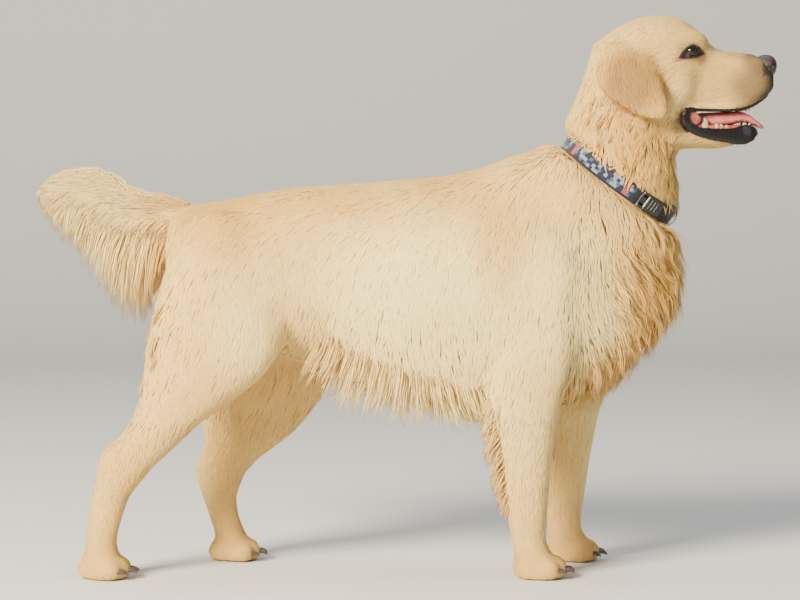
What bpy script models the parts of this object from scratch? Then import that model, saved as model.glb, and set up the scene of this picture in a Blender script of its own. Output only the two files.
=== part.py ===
"""A golden retriever standing in show pose with its head up and mouth open, as a life-size museum model.

Metres, +Z up, nose towards +X, the dog's left side towards +Y, origin on the floor under the middle of the
model. The solids are the dog's outline out to the tips of its coat. Each mass of the body is a loft of oval
sections; the masses are fused into one body, and the body is then parted by thin cuts into named pieces.
"""

import math

import bmesh
import bpy
from mathutils import Matrix, Vector

GAP = 0.0003  # air left between two solids that meet
VOXEL = 0.0042  # grain at which the masses are fused
FLESH_TRIANGLES = 2700
TAIL_TRIANGLES = 280
RING_POINTS = 28
FLOOR_DIP = 0.004  # how far the paws run below the floor before their flats are cut
FAR = 0.6  # larger than any part of the dog

# A section is: place, upper x, upper z, lower x, lower z, half width.
TRUNK = [
    ("point of buttock", -0.338, 0.492, -0.338, 0.392, 0.045),
    ("tail root", -0.312, 0.515, -0.312, 0.354, 0.078),
    ("croup", -0.270, 0.520, -0.270, 0.326, 0.096),
    ("hip", -0.221, 0.530, -0.221, 0.312, 0.101),
    ("loin", -0.164, 0.540, -0.164, 0.303, 0.098),
    ("flank", -0.108, 0.544, -0.108, 0.282, 0.100),
    ("last rib", -0.051, 0.548, -0.051, 0.250, 0.108),
    ("ribs", 0.005, 0.553, 0.005, 0.232, 0.116),
    ("deep chest", 0.061, 0.558, 0.061, 0.222, 0.120),
    ("elbow", 0.118, 0.573, 0.118, 0.216, 0.120),
    ("withers", 0.160, 0.588, 0.160, 0.218, 0.118),
    ("shoulder", 0.202, 0.578, 0.202, 0.226, 0.114),
    ("forechest", 0.252, 0.537, 0.252, 0.243, 0.104),
    ("breast", 0.301, 0.502, 0.301, 0.272, 0.088),
    ("breast ruff", 0.343, 0.474, 0.343, 0.319, 0.070),
    ("prow", 0.374, 0.453, 0.374, 0.362, 0.048),
    ("prow tip", 0.388, 0.436, 0.388, 0.396, 0.024),
]
NECK = [
    ("between shoulders", 0.140, 0.570, 0.362, 0.380, 0.104),
    ("neck root", 0.176, 0.590, 0.385, 0.440, 0.098),
    ("low neck", 0.200, 0.607, 0.388, 0.474, 0.091),
    ("collar", 0.217, 0.622, 0.379, 0.502, 0.084),
    ("ruff", 0.228, 0.646, 0.386, 0.531, 0.080),
    ("mid neck", 0.238, 0.668, 0.380, 0.570, 0.076),
    ("throat", 0.247, 0.695, 0.374, 0.596, 0.071),
    ("nape", 0.259, 0.723, 0.369, 0.622, 0.066),
    ("under ears", 0.280, 0.744, 0.364, 0.650, 0.058),
]
SKULL = [
    ("occiput", 0.259, 0.738, 0.259, 0.678, 0.038),
    ("back of skull", 0.277, 0.753, 0.277, 0.643, 0.056),
    ("ear line", 0.304, 0.770, 0.304, 0.625, 0.063),
    ("crown", 0.332, 0.780, 0.332, 0.612, 0.066),
    ("cheek", 0.360, 0.783, 0.360, 0.604, 0.064),
    ("brow", 0.386, 0.777, 0.386, 0.630, 0.056),
    ("eye line", 0.404, 0.765, 0.404, 0.645, 0.046),
    ("stop", 0.420, 0.747, 0.420, 0.655, 0.036),
    ("below stop", 0.434, 0.735, 0.434, 0.662, 0.028),
]
MUZZLE = [
    ("muzzle root", 0.364, 0.738, 0.364, 0.634, 0.046),
    ("mouth corner", 0.388, 0.740, 0.388, 0.640, 0.045),
    ("cheek pad", 0.410, 0.739, 0.410, 0.648, 0.043),
    ("muzzle back", 0.430, 0.735, 0.430, 0.650, 0.040),
    ("muzzle middle", 0.452, 0.732, 0.452, 0.648, 0.038),
    ("flews", 0.472, 0.730, 0.472, 0.647, 0.037),
    ("whisker pad", 0.488, 0.728, 0.488, 0.655, 0.035),
    ("lip front", 0.501, 0.725, 0.501, 0.667, 0.030),
    ("lip tip", 0.511, 0.718, 0.511, 0.680, 0.021),
]
JAW = [
    ("jaw angle", 0.352, 0.640, 0.352, 0.598, 0.050),
    ("jaw back", 0.375, 0.634, 0.375, 0.594, 0.046),
    ("lip corner", 0.396, 0.628, 0.396, 0.594, 0.039),
    ("jaw middle", 0.421, 0.625, 0.421, 0.594, 0.033),
    ("chin back", 0.445, 0.626, 0.445, 0.596, 0.030),
    ("chin", 0.467, 0.628, 0.467, 0.601, 0.027),
    ("lower lip", 0.483, 0.628, 0.483, 0.606, 0.022),
    ("lip rim", 0.493, 0.625, 0.493, 0.614, 0.013),
]
TONGUE = [
    ("root", 0.386, 0.644, 0.386, 0.618, 0.013),
    ("back", 0.408, 0.645, 0.408, 0.619, 0.0165),
    ("middle", 0.432, 0.646, 0.432, 0.620, 0.0185),
    ("front", 0.458, 0.646, 0.458, 0.622, 0.0190),
    ("over teeth", 0.480, 0.644, 0.478, 0.627, 0.0185),
    ("tip curl", 0.495, 0.637, 0.489, 0.628, 0.0160),
    ("tip", 0.502, 0.630, 0.498, 0.626, 0.0090),
]
TAIL = [
    ("root", -0.300, 0.512, -0.318, 0.444, 0.028),
    ("set", -0.330, 0.526, -0.344, 0.404, 0.034),
    ("dip", -0.362, 0.533, -0.368, 0.356, 0.034),
    ("first plume", -0.390, 0.536, -0.402, 0.368, 0.035),
    ("rise", -0.415, 0.561, -0.432, 0.408, 0.037),
    ("crest", -0.449, 0.571, -0.463, 0.452, 0.038),
    ("fan", -0.486, 0.567, -0.491, 0.477, 0.034),
    ("end", -0.508, 0.555, -0.510, 0.506, 0.023),
    ("tip", -0.521, 0.538, -0.520, 0.526, 0.009),
]
EAR = [
    ("set on", 0.281, 0.748, 0.334, 0.735, 0.014),
    ("fold", 0.271, 0.735, 0.343, 0.719, 0.016),
    ("upper leaf", 0.260, 0.714, 0.352, 0.700, 0.014),
    ("leaf", 0.258, 0.692, 0.359, 0.679, 0.0125),
    ("lower leaf", 0.270, 0.671, 0.363, 0.660, 0.012),
    ("rounding", 0.296, 0.652, 0.364, 0.646, 0.011),
    ("tip", 0.326, 0.637, 0.355, 0.635, 0.008),
]
# How far out each section of the ear hangs from the middle plane.
EAR_OUT = [0.047, 0.060, 0.069, 0.075, 0.080, 0.082, 0.082]

# A leg section adds a last number: how far its middle lies from the middle plane.
NEAR_FORELEG = [
    ("shoulder blade", 0.235, 0.430, 0.140, 0.430, 0.030, 0.080),
    ("upper arm", 0.242, 0.350, 0.118, 0.346, 0.034, 0.083),
    ("arm", 0.232, 0.291, 0.112, 0.284, 0.035, 0.084),
    ("elbow", 0.216, 0.249, 0.114, 0.240, 0.033, 0.084),
    ("forearm top", 0.207, 0.208, 0.124, 0.205, 0.030, 0.083),
    ("forearm", 0.202, 0.167, 0.129, 0.167, 0.028, 0.083),
    ("forearm low", 0.198, 0.125, 0.133, 0.125, 0.026, 0.083),
    ("knee", 0.195, 0.086, 0.139, 0.087, 0.025, 0.084),
    ("pastern", 0.194, 0.052, 0.146, 0.050, 0.025, 0.085),
    ("paw top", 0.202, 0.032, 0.148, 0.030, 0.028, 0.086),
    ("paw", 0.205, 0.012, 0.150, 0.012, 0.029, 0.086),
    ("sole", 0.203, -FLOOR_DIP, 0.152, -FLOOR_DIP, 0.028, 0.086),
]
# How far the far foreleg stands ahead of the near one, at its shoulder, at its elbow and at its sole.
FAR_FORELEG_AHEAD = ((0.430, 0.020), (0.240, 0.072), (0.0, 0.055))
NEAR_HIND_LEG = [
    ("hip", -0.205, 0.456, -0.320, 0.470, 0.045, 0.058),
    ("thigh", -0.175, 0.401, -0.345, 0.405, 0.045, 0.066),
    ("stifle", -0.166, 0.339, -0.356, 0.353, 0.044, 0.074),
    ("low thigh", -0.191, 0.288, -0.364, 0.304, 0.040, 0.080),
    ("second thigh", -0.232, 0.252, -0.369, 0.260, 0.034, 0.083),
    ("gaskin", -0.278, 0.221, -0.379, 0.225, 0.029, 0.085),
    ("above hock", -0.315, 0.187, -0.397, 0.198, 0.026, 0.086),
    ("hock point", -0.343, 0.162, -0.421, 0.179, 0.024, 0.087),
    ("hock", -0.366, 0.136, -0.429, 0.155, 0.024, 0.088),
    ("below hock", -0.384, 0.112, -0.435, 0.122, 0.0215, 0.088),
    ("rear pastern", -0.395, 0.080, -0.441, 0.087, 0.021, 0.088),
    ("fetlock", -0.402, 0.050, -0.446, 0.052, 0.022, 0.089),
    ("paw top", -0.398, 0.032, -0.448, 0.029, 0.026, 0.090),
    ("paw", -0.400, 0.012, -0.446, 0.012, 0.028, 0.090),
    ("sole", -0.400, -FLOOR_DIP, -0.442, -FLOOR_DIP, 0.027, 0.090),
]
FAR_HIND_LEG = [
    ("hip", -0.205, 0.452, -0.318, 0.470, 0.045, 0.058),
    ("thigh", -0.153, 0.380, -0.318, 0.380, 0.045, 0.066),
    ("stifle", -0.118, 0.316, -0.314, 0.318, 0.044, 0.074),
    ("low thigh", -0.106, 0.268, -0.306, 0.262, 0.040, 0.080),
    ("second thigh", -0.128, 0.228, -0.299, 0.216, 0.034, 0.083),
    ("gaskin", -0.161, 0.187, -0.292, 0.180, 0.029, 0.085),
    ("above hock", -0.200, 0.158, -0.295, 0.158, 0.026, 0.086),
    ("hock", -0.226, 0.136, -0.306, 0.134, 0.024, 0.087),
    ("below hock", -0.239, 0.112, -0.303, 0.114, 0.022, 0.088),
    ("rear pastern", -0.246, 0.089, -0.294, 0.089, 0.021, 0.088),
    ("fetlock", -0.242, 0.062, -0.284, 0.058, 0.021, 0.088),
    ("paw top", -0.232, 0.038, -0.276, 0.034, 0.024, 0.090),
    ("paw", -0.230, 0.012, -0.272, 0.014, 0.028, 0.090),
    ("sole", -0.230, -FLOOR_DIP, -0.270, -FLOOR_DIP, 0.027, 0.090),
]
# The long hair that stands out behind the forearm.
FORELEG_FEATHER = [
    ("at elbow", 0.148, 0.262, 0.100, 0.250, 0.014, 0.084),
    ("upper", 0.150, 0.225, 0.098, 0.205, 0.013, 0.084),
    ("middle", 0.150, 0.185, 0.104, 0.165, 0.012, 0.084),
    ("lower", 0.150, 0.145, 0.114, 0.125, 0.011, 0.084),
    ("end", 0.152, 0.105, 0.128, 0.090, 0.009, 0.085),
]

# Rounded masses that swell out of the lofts: centre x, y, z, then radii.
MASSES = {
    "brow": (0.396, 0.027, 0.744, 0.028, 0.020, 0.017),
    "cheek": (0.368, 0.043, 0.690, 0.036, 0.021, 0.040),
    "flew": (0.462, 0.024, 0.668, 0.034, 0.0145, 0.021),
    "whisker pad": (0.490, 0.016, 0.682, 0.018, 0.015, 0.020),
    "shoulder": (0.195, 0.070, 0.400, 0.062, 0.050, 0.115),
    "haunch": (-0.255, 0.058, 0.430, 0.075, 0.048, 0.085),
    "neck base": (0.265, 0.052, 0.475, 0.095, 0.050, 0.080),
    "neck side": (0.235, 0.050, 0.545, 0.080, 0.042, 0.055),
}
EYE_CENTRE = (0.3950, 0.0415, 0.7303)
EYE_RADIUS = 0.0112
NOSE = [
    ("back", 0.4940, 0.7265, 0.4960, 0.7030, 0.0140),
    ("wings", 0.5030, 0.7290, 0.5040, 0.6985, 0.0182),
    ("nostrils", 0.5125, 0.7285, 0.5125, 0.6975, 0.0178),
    ("pad", 0.5185, 0.7240, 0.5180, 0.7005, 0.0130),
    ("tip", 0.5210, 0.7180, 0.5205, 0.7060, 0.0065),
]
# Lower teeth: x, how far from the middle, height of the tip, radius.
TEETH = {
    "carnassial": (0.4155, 0.0275, 0.6405, 0.0042),
    "premolar": (0.4330, 0.0250, 0.6360, 0.0030),
    "canine": (0.4715, 0.0225, 0.6390, 0.0026),
}
TOOTH_ROOT = 0.616

# The legs are parted from the trunk along a plane: how far out it is at the floor, and how it splays.
FORELEG_INNER_PLANE = (0.020, 0.10)
HIND_LEG_INNER_PLANE = (0.0, 0.11)
FAR_STIFLE_AHEAD = 0.085
# The outline that parts a leg from the trunk: x, z, and what share of the far leg's lead it moves ahead.
FORELEG_OUTLINE = [
    (0.088, -FLOOR_DIP, 0.0),
    (0.088, 0.215, 0.0),
    (0.096, 0.285, 0.0),
    (0.122, 0.400, 0.0),
    (0.165, 0.478, 0.0),
    (0.228, 0.465, 0.0),
    (0.262, 0.400, 0.25),
    (0.262, 0.330, 0.5),
    (0.245, 0.225, 1.0),
    (0.245, -FLOOR_DIP, 1.0),
]
HIND_LEG_OUTLINE = [
    (-0.480, -FLOOR_DIP, 0.0),
    (-0.480, 0.300, 0.0),
    (-0.390, 0.440, 0.0),
    (-0.318, 0.500, 0.0),
    (-0.215, 0.500, 0.0),
    (-0.162, 0.400, 0.25),
    (-0.145, 0.330, 0.5),
    (-0.150, 0.230, 1.0),
    (-0.150, -FLOOR_DIP, 1.0),
]
FOREPAW_TOP = (0.056, 0.052)  # front, back
HIND_PAW_TOP = (0.046, 0.046)
JAW_OUTLINE = [(0.3885, 0.637), (0.376, 0.560), (0.600, 0.560), (0.600, 0.6435), (0.410, 0.6435)]
# Lines that part a piece from what is on their other side, both ends as x, z.
SHANK_LINE = ((-0.550, 0.300), (0.100, 0.150))
NECK_LINE = ((0.420, 0.418), (0.080, 0.626))
HEAD_LINE = ((0.440, 0.537), (0.180, 0.750))

# Paws: toe front x, how far from the middle plane, heading in degrees outwards.
PAWS = {
    "forepaw_right": (0.2255, -0.086, -3.0),
    "forepaw_left": (0.2820, 0.086, 3.0),
    "hind_paw_right": (-0.380, -0.090, -3.0),
    "hind_paw_left": (-0.2095, 0.090, 3.0),
}
# Toes: how far behind the toe front, how far sideways, radii.
TOES = [
    (0.030, -0.0265, 0.0185, 0.0115, 0.0150),
    (0.020, -0.0100, 0.0200, 0.0120, 0.0170),
    (0.020, 0.0100, 0.0200, 0.0120, 0.0170),
    (0.030, 0.0265, 0.0185, 0.0115, 0.0150),
]
TOE_HEIGHT = 0.0135
HEEL_PAD = (0.060, 0.020, 0.022, 0.017)  # how far behind the toe front, then radii
CLAW_LENGTH = 0.0125
CLAW_RADIUS = 0.0030
CLAW_SIDES = 5
CLAW_HEIGHT = 0.0145
CLAW_DROP = 38.0  # degrees below level at the tip

COLLAR_NAPE = (0.2245, 0.6055)
COLLAR_THROAT = (0.3720, 0.4980)
COLLAR_SAG = 0.006  # how much lower the collar hangs at the sides of the neck
COLLAR_HALF_WIDTH = 0.0765
COLLAR_BAND = 0.025
COLLAR_THICKNESS = 0.0032
COLLAR_POINTS = 36
GROOVE_REACH = 0.045  # how far the groove for the collar is cut outwards through the coat
BUCKLE_ANGLE = -57.0  # degrees round the collar from its throat, minus towards the dog's right
BUCKLE_SIZE = (0.042, 0.026, 0.010)  # along the collar, across it, thick
RING_ANGLE = -30.0
RING_RADIUS = 0.0152  # of the round side of the D, whose straight bar passes behind the band
RING_WIRE = 0.0015
RING_SIDES = 6

COLOURS = {
    "coat": ((0.86, 0.72, 0.50), 0.85),
    "ear coat": ((0.74, 0.52, 0.30), 0.85),
    "nose": ((0.035, 0.026, 0.024), 0.35),
    "tongue": ((0.72, 0.27, 0.26), 0.40),
    "eye": ((0.035, 0.018, 0.010), 0.08),
    "claw": ((0.10, 0.07, 0.05), 0.45),
    "collar": ((0.045, 0.060, 0.110), 0.80),
    "buckle": ((0.015, 0.015, 0.017), 0.35),
    "ring": ((0.09, 0.09, 0.10), 0.30),
}
METALS = {"ring"}


def clear_scene():
    for obj in list(bpy.data.objects):
        bpy.data.objects.remove(obj)


def material(name):
    found = bpy.data.materials.get(name)
    if found:
        return found
    made = bpy.data.materials.new(name)
    made.use_nodes = True
    shader = made.node_tree.nodes["Principled BSDF"]
    colour, roughness = COLOURS[name]
    shader.inputs["Base Color"].default_value = (*colour, 1.0)
    shader.inputs["Roughness"].default_value = roughness
    shader.inputs["Metallic"].default_value = 1.0 if name in METALS else 0.0
    return made


def object_from(bm, name):
    bmesh.ops.recalc_face_normals(bm, faces=bm.faces)
    mesh = bpy.data.meshes.new(name)
    bm.to_mesh(mesh)
    bm.free()
    obj = bpy.data.objects.new(name, mesh)
    bpy.context.scene.collection.objects.link(obj)
    return obj


def power(value, exponent):
    """value to the exponent, keeping its sign: the term of a rounded-square oval."""
    return math.copysign(abs(value) ** exponent, value)


def catmull_rom(before, start, end, after, t):
    """Each number of a section, a share t of the way from start to end along a smooth curve."""
    return [
        0.5
        * (2 * q + (r - p) * t + (2 * p - 5 * q + 4 * r - s) * t * t + (3 * q - p - 3 * r + s) * t**3)
        for p, q, r, s in zip(before, start, end, after)
    ]


def smooth_sections(sections, steps):
    """The named sections with steps - 1 more between each two."""
    rows = [list(section[1:]) for section in sections]
    padded = [rows[0], *rows, rows[-1]]
    finer = []
    for i in range(len(rows) - 1):
        for step in range(steps):
            finer.append(catmull_rom(*padded[i : i + 4], step / steps))
    return [*finer, rows[-1]]


def oval(row, side, widest, squareness, points, grow):
    """The ring of one section, in the plane of its upper and lower points and the Y axis.

    widest is how far down the section is broadest, from 0 to 1, and grow makes the ring that much larger."""
    upper, lower = Vector((row[0], 0, row[1])), Vector((row[2], 0, row[3]))
    half = row[4] + grow
    middle_y = side * row[5] if len(row) > 5 else 0.0
    down = (lower - upper).normalized()
    centre = upper + (lower - upper) * widest
    above = (centre - upper).length + grow
    below = (lower - centre).length + grow
    ring = []
    for i in range(points):
        angle = 2 * math.pi * i / points
        across = power(math.cos(angle), 2 / squareness)
        along = power(math.sin(angle), 2 / squareness)
        place = centre + down * (along * (below if along > 0 else above))
        ring.append((place.x, middle_y + across * half, place.z))
    return ring


def add_loft(bm, sections, side=0.0, widest=0.5, squareness=2.2, points=RING_POINTS, steps=4, grow=0.0):
    """Adds a closed tube through the sections to bm."""
    rings = [
        [bm.verts.new(p) for p in oval(row, side, widest, squareness, points, grow)]
        for row in smooth_sections(sections, steps)
    ]
    for near, far in zip(rings, rings[1:]):
        for i in range(points):
            j = (i + 1) % points
            bm.faces.new((near[i], near[j], far[j], far[i]))
    bm.faces.new(rings[0])
    bm.faces.new(rings[-1])


def add_ellipsoid(bm, centre, radii, turn=0.0, segments=20):
    """Adds a rounded mass to bm; turn swings it about Z, in degrees."""
    turned = Matrix.Rotation(math.radians(turn), 4, "Z")
    matrix = Matrix.Translation(centre) @ turned @ Matrix.Diagonal((*radii, 1))
    half = segments // 2
    bmesh.ops.create_uvsphere(bm, u_segments=segments, v_segments=half, radius=1.0, matrix=matrix)


def ahead_at(height):
    """How far the far foreleg stands ahead at that height."""
    shoulder, elbow, sole = FAR_FORELEG_AHEAD
    above, below = (shoulder, elbow) if height > elbow[0] else (elbow, sole)
    share = min(1.0, max(0.0, (height - below[0]) / (above[0] - below[0])))
    return below[1] + (above[1] - below[1]) * share


def set_ahead(sections):
    """The near foreleg's sections, moved to where the far foreleg stands."""
    return [
        (place, ux + ahead_at(uz), uz, lx + ahead_at(lz), lz, half, out)
        for place, ux, uz, lx, lz, half, out in sections
    ]


def paw_frame(paw):
    front, across, heading = PAWS[paw]
    return Matrix.Translation((front, across, 0)) @ Matrix.Rotation(math.radians(heading), 4, "Z")


def add_paw(bm, paw):
    frame = paw_frame(paw)
    heading = PAWS[paw][2]
    for behind, aside, *radii in TOES:
        add_ellipsoid(bm, frame @ Vector((-behind, aside, TOE_HEIGHT)), radii, heading)
    behind, *radii = HEEL_PAD
    add_ellipsoid(bm, frame @ Vector((-behind, 0, TOE_HEIGHT)), radii, heading)


def boolean(obj, other, operation):
    """Applies a Boolean to obj with the EXACT solver."""
    cut = obj.modifiers.new(operation, "BOOLEAN")
    cut.operation = operation
    cut.solver = "EXACT"
    cut.object = other
    apply_modifiers(obj)


def apply_modifiers(obj):
    graph = bpy.context.evaluated_depsgraph_get()
    graph.update()
    mesh = bpy.data.meshes.new_from_object(obj.evaluated_get(graph))
    obj.modifiers.clear()
    obj.data = mesh


def remove(*objects):
    for obj in objects:
        bpy.data.objects.remove(obj)


def fused(bm, name, triangles, smoothing):
    """One closed body from the masses in bm, smoothed and thinned to about that many triangles."""
    obj = object_from(bm, name)
    remesh = obj.modifiers.new("fuse", "REMESH")
    remesh.mode = "VOXEL"
    remesh.voxel_size = VOXEL
    smooth = obj.modifiers.new("soften", "SMOOTH")
    smooth.factor = 0.5
    smooth.iterations = smoothing
    apply_modifiers(obj)
    thin = obj.modifiers.new("thin", "DECIMATE")
    thin.ratio = triangles / (2 * len(obj.data.polygons))
    thin.use_collapse_triangulate = True
    apply_modifiers(obj)
    return obj


def grown(obj, amount=GAP):
    """A copy of obj that is larger by amount all round, for use as a cutter."""
    copy = obj.copy()
    copy.data = obj.data.copy()
    bpy.context.scene.collection.objects.link(copy)
    swell = copy.modifiers.new("swell", "DISPLACE")
    swell.direction = "NORMAL"
    swell.mid_level = 0.0
    swell.strength = amount
    apply_modifiers(copy)
    return copy


def prism(outline, side=0.0, inner=0.0, splay=0.0):
    """A solid whose side view is the outline, a list of (x, z).

    It runs through the whole body, or, given a side, outwards from a plane that is inner away from the
    middle at the floor and splay times the height more further up."""
    bm = bmesh.new()
    near = [bm.verts.new((x, side * (inner + splay * z) if side else -FAR, z)) for x, z in outline]
    far = [bm.verts.new((x, side * FAR if side else FAR, z)) for x, z in outline]
    bm.faces.new(near)
    bm.faces.new(far)
    for i in range(len(outline)):
        j = (i + 1) % len(outline)
        bm.faces.new((near[i], near[j], far[j], far[i]))
    return object_from(bm, "region")


def beyond(start, end, reach):
    """The corners of a quadrilateral on the right of the line from start to end, both (x, z)."""
    a, b = Vector(start), Vector(end)
    side = Vector((b.y - a.y, a.x - b.x)).normalized() * reach
    return [tuple(a), tuple(b), tuple(b + side), tuple(a + side)]


def part_off(body, name, region):
    """Cuts region out of body as a piece of its own, with a thin gap between them."""
    piece = body.copy()
    piece.data = body.data.copy()
    piece.name = name
    bpy.context.scene.collection.objects.link(piece)
    boolean(piece, region, "INTERSECT")
    cutter = grown(region, GAP * 1.4)
    boolean(body, cutter, "DIFFERENCE")
    remove(cutter, region)
    return piece


def flesh():
    """Trunk, neck, head, jaw and legs as one body."""
    bm = bmesh.new()
    add_loft(bm, TRUNK, widest=0.48, squareness=2.15)
    add_loft(bm, NECK)
    add_loft(bm, SKULL, widest=0.45, squareness=2.3)
    add_loft(bm, MUZZLE, widest=0.66, squareness=2.5)
    add_loft(bm, JAW, widest=0.25, squareness=2.4)
    for side in (-1, 1):
        for x, y, z, *radii in MASSES.values():
            add_ellipsoid(bm, (x, side * y, z), radii)
    add_loft(bm, NEAR_FORELEG, side=-1)
    add_loft(bm, set_ahead(NEAR_FORELEG), side=1)
    add_loft(bm, NEAR_HIND_LEG, side=-1)
    add_loft(bm, FAR_HIND_LEG, side=1)
    for paw in PAWS:
        add_paw(bm, paw)
    body = fused(bm, "trunk", FLESH_TRIANGLES, smoothing=3)
    floor = prism([(-FAR, 0), (FAR, 0), (FAR, -FAR), (-FAR, -FAR)])
    boolean(body, floor, "DIFFERENCE")
    remove(floor)
    return body


def collar_frame():
    """Centre, direction from nape to throat, direction up the neck, and half length of the collar's oval."""
    nape = Vector((COLLAR_NAPE[0], 0, COLLAR_NAPE[1]))
    throat = Vector((COLLAR_THROAT[0], 0, COLLAR_THROAT[1]))
    down = (throat - nape).normalized()
    up_neck = Vector((-down.z, 0, down.x))
    return (nape + throat) / 2, down, up_neck, (throat - nape).length / 2


def collar_point(angle, out, up):
    """A point at that angle from the throat round the neck, out from the oval and up the neck."""
    centre, down, up_neck, half_length = collar_frame()
    turn = math.radians(angle)
    along = math.cos(turn) * (half_length + out)
    across = math.sin(turn) * (COLLAR_HALF_WIDTH + out)
    return centre + down * along + Vector((0, across, 0)) + up_neck * (up - COLLAR_SAG * math.sin(turn) ** 2)


def collar_band(name, inner, outer, half_band):
    """The band between two ovals round the neck."""
    bm = bmesh.new()
    rings = []
    for i in range(COLLAR_POINTS):
        angle = 360 * i / COLLAR_POINTS
        corners = ((inner, -half_band), (outer, -half_band), (outer, half_band), (inner, half_band))
        rings.append([bm.verts.new(collar_point(angle, out, up)) for out, up in corners])
    for i, ring in enumerate(rings):
        after = rings[(i + 1) % COLLAR_POINTS]
        for j in range(4):
            k = (j + 1) % 4
            bm.faces.new((ring[j], ring[k], after[k], after[j]))
    return object_from(bm, name)


def collar_axes(angle):
    """Matrix whose x runs round the collar at that angle, y up the neck and z outwards."""
    here = collar_point(angle, 0, 0)
    round_it = (collar_point(angle + 1, 0, 0) - collar_point(angle - 1, 0, 0)).normalized()
    up_neck = collar_frame()[2]
    outwards = round_it.cross(up_neck)
    matrix = Matrix((round_it, up_neck, outwards)).transposed().to_4x4()
    matrix.translation = here
    return matrix


def collar_pieces():
    """The band, its buckle and the ring that hangs at its throat."""
    half_thick = COLLAR_THICKNESS / 2
    band = collar_band("collar", -half_thick, half_thick, COLLAR_BAND / 2)

    bm = bmesh.new()
    length, width, thick = BUCKLE_SIZE
    lift = half_thick + GAP + thick / 2
    lifted = collar_axes(BUCKLE_ANGLE) @ Matrix.Translation((0, 0, lift))
    bmesh.ops.create_cube(bm, size=1.0, matrix=lifted @ Matrix.Diagonal((length, width, thick, 1)))
    bmesh.ops.bevel(bm, geom=bm.edges[:], offset=0.0022, segments=1, affect="EDGES")
    buckle = object_from(bm, "collar_buckle")
    band_room = grown(band)
    boolean(buckle, band_room, "DIFFERENCE")
    remove(band_room)

    return band, buckle, d_ring()


def d_ring():
    """The ring for a lead: a D that stands out from the band, with its bar between the band and the neck."""
    bar = -COLLAR_THICKNESS / 2 - RING_WIRE - GAP
    arc = [math.radians(-90 + 15 * step) for step in range(13)]
    path = [(RING_WIRE + RING_RADIUS * math.cos(a), RING_RADIUS * math.sin(a)) for a in arc]
    path += [(bar, RING_RADIUS - RING_WIRE), (bar, 0.0), (bar, RING_WIRE - RING_RADIUS)]
    hang = collar_axes(RING_ANGLE)
    bm = bmesh.new()
    rings = []
    for i, spot in enumerate(path):
        here = Vector(spot)
        run = (Vector(path[(i + 1) % len(path)]) - Vector(path[i - 1])).normalized()
        across = Vector((run.y, -run.x))
        ring = []
        for step in range(RING_SIDES):
            a = 2 * math.pi * step / RING_SIDES
            out, up = here + across * (RING_WIRE * math.cos(a))
            ring.append(bm.verts.new(hang @ Vector((RING_WIRE * math.sin(a), up, out))))
        rings.append(ring)
    for i, ring in enumerate(rings):
        after = rings[(i + 1) % len(rings)]
        for j in range(RING_SIDES):
            k = (j + 1) % RING_SIDES
            bm.faces.new((ring[j], ring[k], after[k], after[j]))
    return object_from(bm, "collar_ring")


def eyeball(side, grow=0.0):
    bm = bmesh.new()
    x, y, z = EYE_CENTRE
    add_ellipsoid(bm, (x, side * y, z), [EYE_RADIUS + grow] * 3, segments=14)
    return object_from(bm, "eye_left" if side > 0 else "eye_right")


def nose_pad(grow=0.0):
    bm = bmesh.new()
    add_loft(bm, NOSE, squareness=2.5, points=14, steps=2, grow=grow)
    return object_from(bm, "nose")


def tongue(grow=0.0):
    bm = bmesh.new()
    add_loft(bm, TONGUE, points=10, steps=2, grow=grow)
    return object_from(bm, "tongue")


def ear(side, body):
    """A hanging ear, fitted to the side of the head."""
    sections = [(*section, out) for section, out in zip(EAR, EAR_OUT)]
    bm = bmesh.new()
    add_loft(bm, sections, side=side, points=10, steps=2)
    leaf = object_from(bm, "ear_left" if side > 0 else "ear_right")
    boolean(leaf, body, "DIFFERENCE")
    return leaf


def foreleg_feather(side, body):
    """The fringe of long hair behind a forearm."""
    sections = set_ahead(FORELEG_FEATHER) if side > 0 else FORELEG_FEATHER
    bm = bmesh.new()
    add_loft(bm, sections, side=side, points=10, steps=2)
    fringe = object_from(bm, "foreleg_feather_left" if side > 0 else "foreleg_feather_right")
    boolean(fringe, body, "DIFFERENCE")
    return fringe


def tail(body):
    bm = bmesh.new()
    add_loft(bm, TAIL, widest=0.32, squareness=2.0)
    plume = fused(bm, "tail", TAIL_TRIANGLES, smoothing=1)
    boolean(plume, body, "DIFFERENCE")
    return plume


def claw(paw, number, body):
    """One claw, curving down out of the front of its toe."""
    behind, aside, reach, _, _ = TOES[number]
    frame = paw_frame(paw)
    bm = bmesh.new()
    rings = []
    for step in range(3):
        t = step / 2
        drop = math.radians(CLAW_DROP) * t
        x = -behind + reach * 0.80 + CLAW_LENGTH * t * math.cos(drop / 2)
        z = CLAW_HEIGHT - CLAW_LENGTH * t * math.sin(drop / 2) - 0.002 * t
        radius = CLAW_RADIUS * (1 - 0.75 * t)
        centre = Vector((x, aside, z))
        up = Vector((math.sin(drop), 0, math.cos(drop)))
        ring = []
        for i in range(CLAW_SIDES):
            a = 2 * math.pi * i / CLAW_SIDES
            spot = centre + Vector((0, 1, 0)) * radius * 0.8 * math.cos(a) + up * radius * math.sin(a)
            ring.append(bm.verts.new(frame @ spot))
        rings.append(ring)
    for near, far in zip(rings, rings[1:]):
        for i in range(CLAW_SIDES):
            j = (i + 1) % CLAW_SIDES
            bm.faces.new((near[i], near[j], far[j], far[i]))
    bm.faces.new(rings[0])
    bm.faces.new(rings[-1])
    made = object_from(bm, f"claw_{paw}_{number + 1}")
    boolean(made, body, "DIFFERENCE")
    return made


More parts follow.
